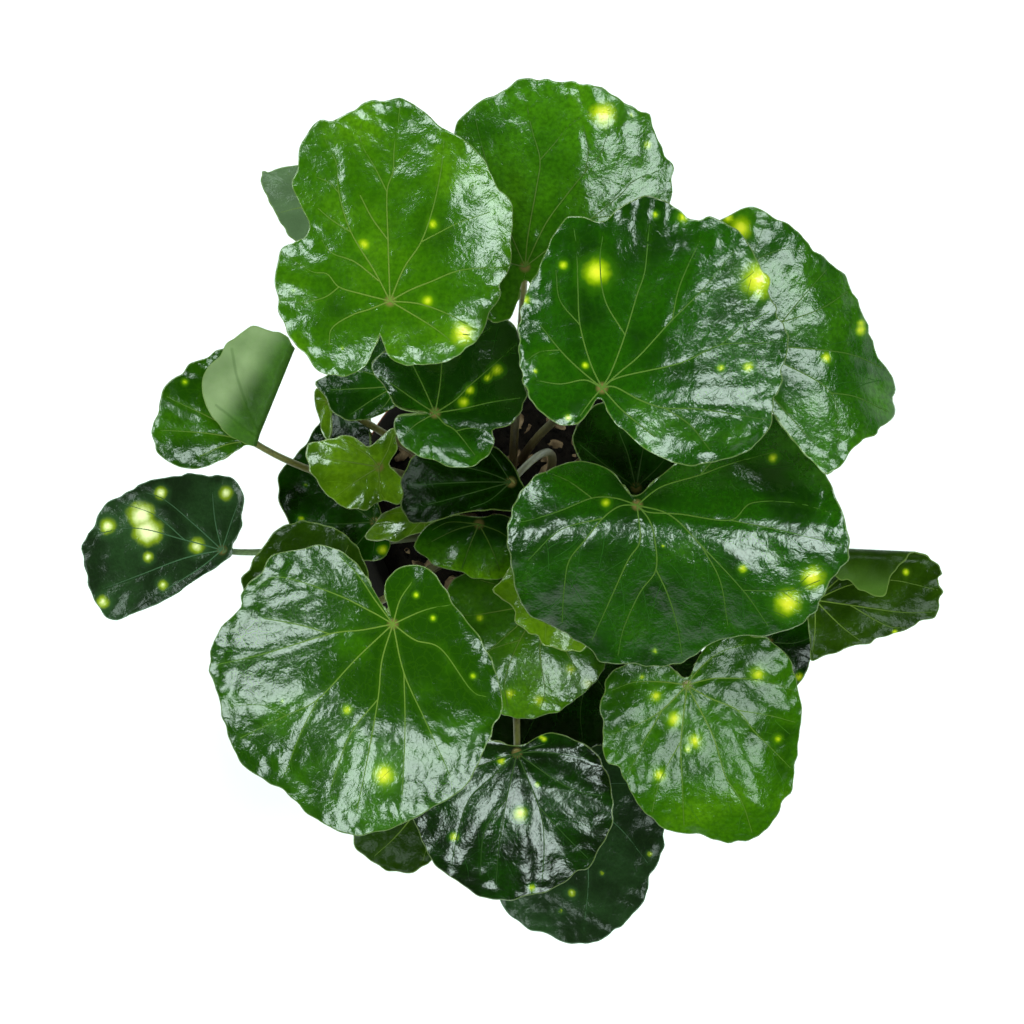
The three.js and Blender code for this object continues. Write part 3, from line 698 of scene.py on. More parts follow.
def build_tubes(
    name: str, bodies: Sequence[tuple[np.ndarray, np.ndarray, np.ndarray]],
    tree: bpy.types.NodeTree, sides: int, finish: bpy.types.Material,
) -> bpy.types.Object:
    """Builds tapering bodies along paths, all of them one piece.

    Args:
        name: The finished piece's name.
        bodies: For each path its places and its radii in millimetres, and how far it has faded
            into the blade at each place, from nothing to one.
        tree: The tree that makes a body along a path.
        sides: Number of sides round each path.
        finish: The material.

    Returns:
        The finished piece.
    """
    paths, girths, fades = zip(*bodies)
    edges = []
    first = 0
    for path in paths:
        steps = np.arange(first, first + len(path) - 1)
        edges.append(np.stack([steps, steps + 1], axis=1))
        first += len(path)
    mesh = bpy.data.meshes.new(f"{name}_path")
    mesh.from_pydata((np.vstack(paths) * MM).tolist(), np.vstack(edges).tolist(), [])
    give_numbers(mesh, {"girth": np.concatenate(girths) * MM, "fade": np.concatenate(fades)})
    piece = grow_piece(name, mesh, tree, {"Sides": sides, "Finish": finish})
    piece.data.shade_smooth()
    return piece


@dataclass(frozen=True)
class VeinHabit:
    """How veins are stepped along, and how the ones run that the view doesn't show.

    Lengths are in view pixels and turns in radians.
    """

    sampling: float = 3.0
    hidden_count: int = 8
    hidden_turn: float = 0.15
    hidden_bow: float = 0.12
    hidden_end: float = 0.92
    least_reach: float = 12.0
    first_place: int = 5
    places_between: tuple[int, int] = (5, 9)
    branch_turn: Pair = (0.65, 0.95)
    step: float = 3.2
    steps: tuple[int, int] = (8, 17)
    straightening: float = 0.035
    wander: float = 0.1
    margin_share: float = 0.93
    clearance: float = 2.5
    least_points: int = 3


@dataclass
class Leaf:
    """One leaf: a thin waved blade with its veins, and the stalk under its joint, in millimetres."""

    form: LeafForm
    habit: VeinHabit = VeinHabit()
    # The blade: its body, the spacing of its points, and the flat pad over the stalk.
    thickness: float = 0.7
    spacing: float = 1.7
    roll_spacing: float = 1.1
    least_rings: int = 8
    margin_rings: Pair = (1.1, 0.5)
    margin_bulge: float = 0.2
    mean_reach_share: float = 0.75
    least_reach: float = 8.0
    ring_gap_share: float = 0.004
    pad_radius: float = 3.2
    pad_blend: Pair = (0.7, 2.2)
    # Its relief: folds, sunken veins, domes between them, and waves of several lengths.
    bend_softness: float = 7.0
    groove_depth: float = 0.15
    groove_width: float = 1.6
    dome_height: float = 0.21
    dome_width: float = 6.0
    crumple_height: float = 0.17
    crumple_length: float = 19.0
    ripple_height: float = 0.07
    ripple_length: float = 7.5
    frill_height: float = 0.35
    scallop: float = 0.45
    scallop_length: float = 8.0
    scallop_start: Pair = (6.0, 20.0)
    # Its marks: drift of the tone, size of strong and weak spots, and where the underside shows,
    # fading near a roll line into painted light that shines through the rolled flap.
    tone_drift: float = 0.1
    tone_length: float = 40.0
    spot_reach: float = 4.0
    spot_growth: float = 1.25
    spot_fading: float = 0.6
    painted_transmission_span: Pair = (16.0, 32.0)
    rolled_margin_share: float = 0.1
    margin_underside: float = 0.3
    margin_wax: float = 0.7
    # The veins: radii, the share of the reach that they keep to, and how they fade on the way.
    vein_radius: float = 0.52
    vein_tip_radius: float = 0.42
    veinlet_radius: float = 0.37
    vein_end_share: float = 0.97
    vein_fade: Pair = (0.05, 0.6)
    vein_fade_range: Pair = (0.15, 0.95)
    vein_sides: int = 6
    # The stalk: radii, where it meets the blade, its flare there, and its foot in the soil.
    stalk_base_radius: float = 2.3
    stalk_top_radius: float = 1.5
    stalk_sides: int = 14
    stalk_steps: int = 40
    seat_share: float = 0.7
    flare: float = 0.35
    flare_start: float = 0.955
    swelling: float = 0.25
    swelling_end: float = 0.05
    soil_radius: float = 71.4
    hole_depth: float = 12.0
    hole_gap: float = 0.6
    upright: float = 3.0
    collar: float = 6.0

    def __post_init__(self) -> None:
        """Works out the outline, its reach and the vein paths, all in view pixels."""
        form = self.form
        self.seed = sum(ord(letter) * (place + 1) for place, letter in enumerate(form.name))
        self.joint = pairs(form.joint)[0]
        self.size = pixel_size(form.height)
        spacing = self.roll_spacing if form.roll else self.spacing
        given = pairs(form.outline)
        self.span = length_of(given - self.joint).max() * self.size
        self.outline = self._fine_outline(given, spacing / self.size)
        offset = self.outline - self.joint
        turns = np.arctan2(-offset[:, 1], offset[:, 0])
        order = np.argsort(turns)
        self.turns, self.reach = turns[order], length_of(offset)[order]
        self.rings = max(int(self.reach.max() * self.size / spacing), self.least_rings)
        self.main_veins = self._main_veins()
        self.veinlets = self._veinlets()
        self.bends = [(pairs(f"{start} {end}"), float(grade)) for start, end, grade in
                      (bend.split() for bend in form.bends.split(";") if bend.strip())]
        start = self.joint[None, :]
        none = np.zeros(1)
        self.centre = self._raw_height(start, none)[0]
        self.grades = [self._raw_height(start + step, none)[0] - self.centre for step in np.eye(2)]

    def _fine_outline(self, given: np.ndarray, spacing: float) -> np.ndarray:
        """Smooths the outline and gives it a faint scalloped edge.

        Args:
            given: The outline's points in pixels.
            spacing: Pixels between samples.

        Returns:
            The fine outline, anticlockwise as seen from above.
        """
        fine = smooth_path(given, spacing, closed=True)
        area = np.sum(fine[:, 0] * np.roll(fine[:, 1], -1) - np.roll(fine[:, 0], -1) * fine[:, 1])
        if area > 0:
            fine = fine[::-1]
        away = fine - self.joint
        far = length_of(away)
        wobble = sine_field(fine * self.size, self.scallop_length, self.seed) * self.scallop / self.size
        fine = self.joint + away * (
            1 + wobble * smooth_step(far * self.size, *self.scallop_start) / far)[:, None]
        # Each point is turned a little past the last one, so that no two lie on one ray.
        away = fine - self.joint
        turns = np.unwrap(np.arctan2(-away[:, 1], away[:, 0]))
        turns = np.maximum.accumulate(turns + np.arange(len(turns)) * 1e-6)
        far = length_of(away)
        return self.joint + np.stack([far * np.cos(turns), -far * np.sin(turns)], axis=1)

    def reach_at(self, turns: np.ndarray | float) -> np.ndarray | float:
        """Gives the pixels from the joint to the margin in some directions."""
        return np.interp(turns, self.turns, self.reach, period=math.tau)

    def share_of(self, flat: np.ndarray) -> np.ndarray:
        """Finds how far pixels are on the way from the joint to the margin."""
        offset = flat - self.joint
        reach = self.reach_at(np.arctan2(-offset[:, 1], offset[:, 0]))
        return length_of(offset) / np.maximum(reach, 1)

    def _main_veins(self) -> list[np.ndarray]:
        """Gives the main veins, read from the view or, on a hidden leaf, fanned from the joint.

        Returns:
            Paths in view pixels.
        """
        habit = self.habit
        if self.form.veins:
            return [smooth_path(pairs(vein), habit.sampling, closed=False)
                    for vein in self.form.veins.replace("@", self.form.joint).split(";")]
        draw = np.random.default_rng(self.seed)
        fan = np.linspace(-math.pi, math.pi, habit.hidden_count, endpoint=False)
        veins = []
        for turn in fan + draw.uniform(-habit.hidden_turn, habit.hidden_turn, habit.hidden_count):
            reach = self.reach_at(turn)
            if reach > habit.least_reach:
                aim = np.array([math.cos(turn), -math.sin(turn)])
                bow = draw.uniform(-habit.hidden_bow, habit.hidden_bow)
                side = np.array([aim[1], -aim[0]]) * bow * reach
                way = [self.joint, self.joint + aim * reach * 0.5 + side,
                       self.joint + aim * reach * habit.hidden_end]
                veins.append(smooth_path(np.array(way), habit.sampling, closed=False))
        return veins

    def _veinlets(self) -> list[np.ndarray]:
        """Grows thin side veins off the main ones, stopped short of the next vein and the margin.

        Returns:
            Paths in view pixels.
        """
        habit = self.habit
        draw = np.random.default_rng(self.seed + 1)
        grown = []
        for number, vein in enumerate(self.main_veins):
            others = [other for place, other in enumerate(self.main_veins) if place != number]
            side = 1 if number % 2 else -1
            place = habit.first_place
            while place < len(vein) - 2:
                side = -side
                ahead = vein[place + 1] - vein[place - 1]
                ahead = ahead / np.hypot(*ahead)
                turn = side * draw.uniform(*habit.branch_turn)
                path = [vein[place]]
                for _ in range(int(draw.uniform(*habit.steps))):
                    turn -= side * habit.straightening + draw.uniform(-habit.wander, habit.wander)
                    aim = np.array([ahead[0] * math.cos(turn) - ahead[1] * math.sin(turn),
                                    ahead[0] * math.sin(turn) + ahead[1] * math.cos(turn)])
                    path.append(path[-1] + aim * habit.step)
                path = np.array(path)
                clear = self.share_of(path) < habit.margin_share
                if others:
                    clear &= nearest(path, others) > habit.clearance
                clear[:2] = True
                kept = path if clear.all() else path[:int(np.argmin(clear))]
                if len(kept) > habit.least_points:
                    grown.append(kept)
                place += int(draw.uniform(*habit.places_between))
        return grown

    def _raw_height(self, flat: np.ndarray, share: np.ndarray) -> np.ndarray:
        """Gives the smooth blade's height at pixels of its flat outline.

        Args:
            flat: Column and row of each point before any roll.
            share: How far each point is on the way to the margin.

        Returns:
            Heights in millimetres.
        """
        form = self.form
        east = (flat[:, 0] - self.joint[0]) * self.size
        north = (self.joint[1] - flat[:, 1]) * self.size
        high, count, phase = form.wave
        angle = np.arctan2(north, east)
        # A second, finer wave keeps the first from looking even.
        wave = np.sin(count * angle + phase) + 0.5 * np.sin((count + 4) * angle + 2 * phase)
        spread = np.hypot(east, north) / self.span
        height = form.height + form.slope[0] * east + form.slope[1] * north - form.droop * spread ** 2
        height = height + high * wave * share ** 2 * np.minimum(2 * spread, 1) ** 2
        for line, grade in self.bends:
            distance = right_of(flat, line) * self.size / self.bend_softness
            height = height + grade * self.bend_softness * np.logaddexp(0, distance)
        return height

    def _relief(self, flat: np.ndarray, share: np.ndarray) -> np.ndarray:
        """Gives the domes between sunken veins and the crumpling of the blade.

        Args:
            flat: Column and row of each point on the flat leaf.
            share: How far each point is on the way to the margin.

        Returns:
            Heights over the smooth blade in millimetres.
        """
        gap = nearest(flat, self.main_veins) * self.size
        thin = nearest(flat, self.veinlets) * self.size if self.veinlets else gap
        relief = self.dome_height * (1 - np.exp(-gap / self.dome_width))
        for distance, depth in ((gap, self.groove_depth), (thin, 0.5 * self.groove_depth)):
            relief -= depth * np.exp(-(distance / self.groove_width) ** 2)
        for number, (height, length) in enumerate((
            (self.crumple_height, self.crumple_length), (self.ripple_height, self.ripple_length),
            (self.frill_height * share ** 6, self.scallop_length),
        )):
            relief += height * sine_field(flat * self.size, length, self.seed + 2 + number)
        return relief

    def surface(self, flat: np.ndarray, share: np.ndarray) -> np.ndarray:
        """Finds the points of the blade's upper face, which is level with the stalk's end at the joint.

        Args:
            flat: Column and row of each point on the flat leaf.
            share: How far each point is on the way to the margin.

        Returns:
            Places in millimetres, one row each.
        """
        offset = flat - self.joint
        pad = self.centre + offset[:, 0] * self.grades[0] + offset[:, 1] * self.grades[1]
        near, far = self.pad_blend
        away = smooth_step(length_of(offset) * self.size, self.pad_radius * near, self.pad_radius * far)
        full = self._raw_height(flat, share) + self._relief(flat, share)
        height = pad + (full - pad) * away
        if not self.form.roll:
            return place_pixels(flat, height)
        pixels, lift = self._rolled(flat)
        return place_pixels(pixels, height + lift * self.size)

    def _rolled(self, flat: np.ndarray) -> tuple[np.ndarray, np.ndarray]:
        """Rolls the flat leaf over its roll line.

        Args:
            flat: Column and row of each point on the flat leaf.

        Returns:
            Where each point comes in the view, and its lift in pixels.
        """
        roll = self.form.roll
        line = pairs(roll.line)
        along = line[1] - line[0]
        length = np.hypot(*along)
        distance = right_of(flat, line) * roll.side
        share = np.maximum((flat - line[0]) @ along / length ** 2, 0)
        radius = roll.radii[0] + (roll.radii[1] - roll.radii[0]) * share
        turn = np.clip(distance / radius, 0, math.pi)
        beyond = np.maximum(distance - math.pi * radius, 0)
        shift = np.where(distance > 0, radius * np.sin(turn) - beyond - distance, 0)
        right = np.array([-along[1], along[0]]) / length * roll.side
        return flat + shift[:, None] * right, radius * (1 - np.cos(turn))

    def _blade_grid(self) -> tuple[np.ndarray, np.ndarray]:
        """Lays rings of flat pixels between the joint and the outline, closer at the margin.

        Returns:
            The pixels, the joint's first, and their shares of the way to the margin.
        """
        steps = np.arange(1, self.rings + 1) / self.rings
        close = 1 - np.array(self.margin_rings) / max(self.span * self.mean_reach_share, self.least_reach)
        shares = np.unique(np.concatenate([steps[steps < close[0] - self.ring_gap_share], close, [1.0]]))
        rings = [self.joint + (self.outline - self.joint) * share for share in shares]
        per_point = np.concatenate([[0.0], np.repeat(shares, len(self.outline))])
        return np.vstack([self.joint[None, :], *rings]), per_point

    def blade(self, finish: bpy.types.Material) -> bpy.types.Object:
        """Builds the blade: upper face, underside, and a rounded margin between them.

        Args:
            finish: The blade's material.

        Returns:
            The finished piece.
        """
        flat, share = self._blade_grid()
        top = self.surface(flat, share)
        count = len(self.outline)
        total = len(top)
        here, after = ring_steps(count)
        upper = np.vstack([np.stack([np.zeros(count, int), 1 + here, 1 + after], axis=1),
                           join_rings(1, (total - 1) // count, count)])
        faces = np.cross(top[upper[:, 1]] - top[upper[:, 0]], top[upper[:, 2]] - top[upper[:, 0]])
        normals = np.zeros_like(top)
        for corner in range(3):
            np.add.at(normals, upper[:, corner], faces)
        first = total - count
        outward = top[first:] - top[first - count:first]
        for rows in (normals, outward):
            rows /= np.maximum(np.linalg.norm(rows, axis=1), TINY)[:, None]
        low = top - normals * self.thickness
        middle = (top[first:] + low[first:]) / 2 + outward * self.margin_bulge
        rim, next_rim = first + here, first + after
        bulge, next_bulge = 2 * total + here, 2 * total + after
        mesh = triangle_mesh(f"blade_{self.form.name}_fine", np.vstack([top, low, middle]), np.vstack([
            upper, upper[:, [0, 2, 1]] + total, split_quads(rim, bulge, next_bulge, next_rim),
            split_quads(bulge, rim + total, next_rim + total, next_bulge)]))
        self._give_marks(mesh, flat, slice(first, total))
        mesh.materials.append(finish)
        return put_in_scene(mesh.name, mesh)

    def _give_marks(self, mesh: bpy.types.Mesh, flat: np.ndarray, edge: slice) -> None:
        """Stores what the material needs to know at each point of the blade.

        Args:
            mesh: The blade's mesh: upper face, underside, then the margin's middle.
            flat: The upper face's flat pixels.
            edge: The outline's share of them.
        """
        form = self.form
        offset = flat - self.joint
        spots = np.full(len(flat), self.spot_reach)
        for spot in filter(None, form.spots.split(";")):
            column, row, radius, strength = (*map(float, spot.split(",")), 1.0)[:4]
            reach = length_of(flat - (column, row)) / radius
            spots = np.minimum(
                spots, reach / min(strength, self.spot_growth) + (1 - strength) * self.spot_fading)
        # The tone is partly the leaf's own colour and partly painted shade: its rise to the south leaves
        # the northern part, under higher leaves, darker.
        lighter, painted_shade_southwards = form.tone
        tone = lighter + painted_shade_southwards * offset[:, 1] * self.size / 10
        tone += self.tone_drift * sine_field(flat * self.size, self.tone_length, self.seed + 5)
        marks = {
            "margin": nearest(flat, [np.vstack([self.outline, self.outline[:1]])]) * self.size,
            "vein": nearest(flat, self.main_veins) * self.size,
            "spot": spots, "tone": tone, "hub": length_of(offset) * self.size,
        }
        give_numbers(mesh, {name: np.concatenate([values, values, values[edge]])
                            for name, values in marks.items()})
        top, side = np.zeros(len(flat)), np.ones(edge.stop - edge.start)
        below = top + 1
        # On a rolled leaf the underside colour fades out near the roll line: painted light shining
        # through the flap.
        if form.roll:
            past = right_of(flat, pairs(form.roll.line)) * form.roll.side * self.size
            least = self.rolled_margin_share
            below = least + (1 - least) * smooth_step(past, *self.painted_transmission_span)
        # The wax mark dims the gloss of low and inner leaves, standing in for the shade of the leaves
        # above.
        give_numbers(mesh, {
            "under": np.concatenate([top, below, self.margin_underside * side]),
            "wax_and_shade": np.concatenate([top + form.wax_and_shade, top, self.margin_wax * form.wax_and_shade * side])})

    def veins(self, finish: bpy.types.Material, tree: bpy.types.NodeTree) -> bpy.types.Object:
        """Builds the veins, which stand a little proud of both faces.

        Args:
            finish: The veins' material.
            tree: The tree that makes a body along a path.

        Returns:
            The finished piece.
        """
        bodies = []
        paths = [*self.main_veins, *self.veinlets]
        ends = np.cumsum([len(path) for path in paths])[:-1]
        flat = np.vstack(paths)
        shares = self.share_of(flat)
        places = self.surface(flat, shares)
        places[:, 2] -= self.thickness / 2
        start, gain = self.vein_fade
        for number, (way, share) in enumerate(zip(np.split(places, ends), np.split(shares, ends))):
            inside = share < self.vein_end_share
            if inside.sum() < self.habit.least_points:
                continue
            share = share[inside]
            if number < len(self.main_veins):
                girth = self.vein_radius + (self.vein_tip_radius - self.vein_radius) * share
                fade = start + gain * smooth_step(share, *self.vein_fade_range)
            else:
                girth = np.full(len(share), self.veinlet_radius)
                fade = np.ones(len(share))
            bodies.append((way[inside], girth, fade))
        return build_tubes(f"veins_{self.form.name}", bodies, tree, self.vein_sides, finish)

    def stalk(self, finish: bpy.types.Material, tree: bpy.types.NodeTree) -> bpy.types.Object:
        """Builds the stalk: upright in its hole, then a bow up to the blade's joint.

        Args:
            finish: The stalk's material.
            tree: The tree that makes a body along a path.

        Returns:
            The finished piece.
        """
        rim = place_pixels(self.joint + np.array([[0, 0], [1, 0], [0, -1]]),
                           self.centre + np.array([0, self.grades[0], -self.grades[1]]))
        normal = np.cross(rim[1] - rim[0], rim[2] - rim[0])
        normal /= np.linalg.norm(normal)
        seat = rim[0] - normal * self.thickness * self.seat_share
        x, y = self.form.base
        ground = SOIL_EDGE_HEIGHT + SOIL_MOUND * (1 - (math.hypot(x, y) / self.soil_radius) ** 2)
        collar = np.array([x, y, ground + self.collar])
        ends = [collar, collar + self.form.rise, seat + self.form.lean, seat]
        t = np.linspace(0, 1, self.stalk_steps)[:, None]
        bow = ((1 - t) ** 3 * ends[0] + 3 * (1 - t) ** 2 * t * ends[1]
               + 3 * (1 - t) * t ** 2 * ends[2] + t ** 3 * ends[3])
        foot = [[x, y, ground + rise] for rise in (self.hole_gap - self.hole_depth, 0, self.upright)]
        share = np.concatenate([[0, 0, 0], t[:, 0]])
        girth = self.stalk_base_radius + (self.stalk_top_radius - self.stalk_base_radius) * share
        girth = (girth * (1 + self.flare * smooth_step(share, self.flare_start, 1.0))
                 + self.swelling * (1 - smooth_step(share, 0, self.swelling_end)))
        return build_tubes(f"stalk_{self.form.name}_fine", [(np.vstack([foot, bow]), girth, share)], tree,
                           self.stalk_sides, finish)


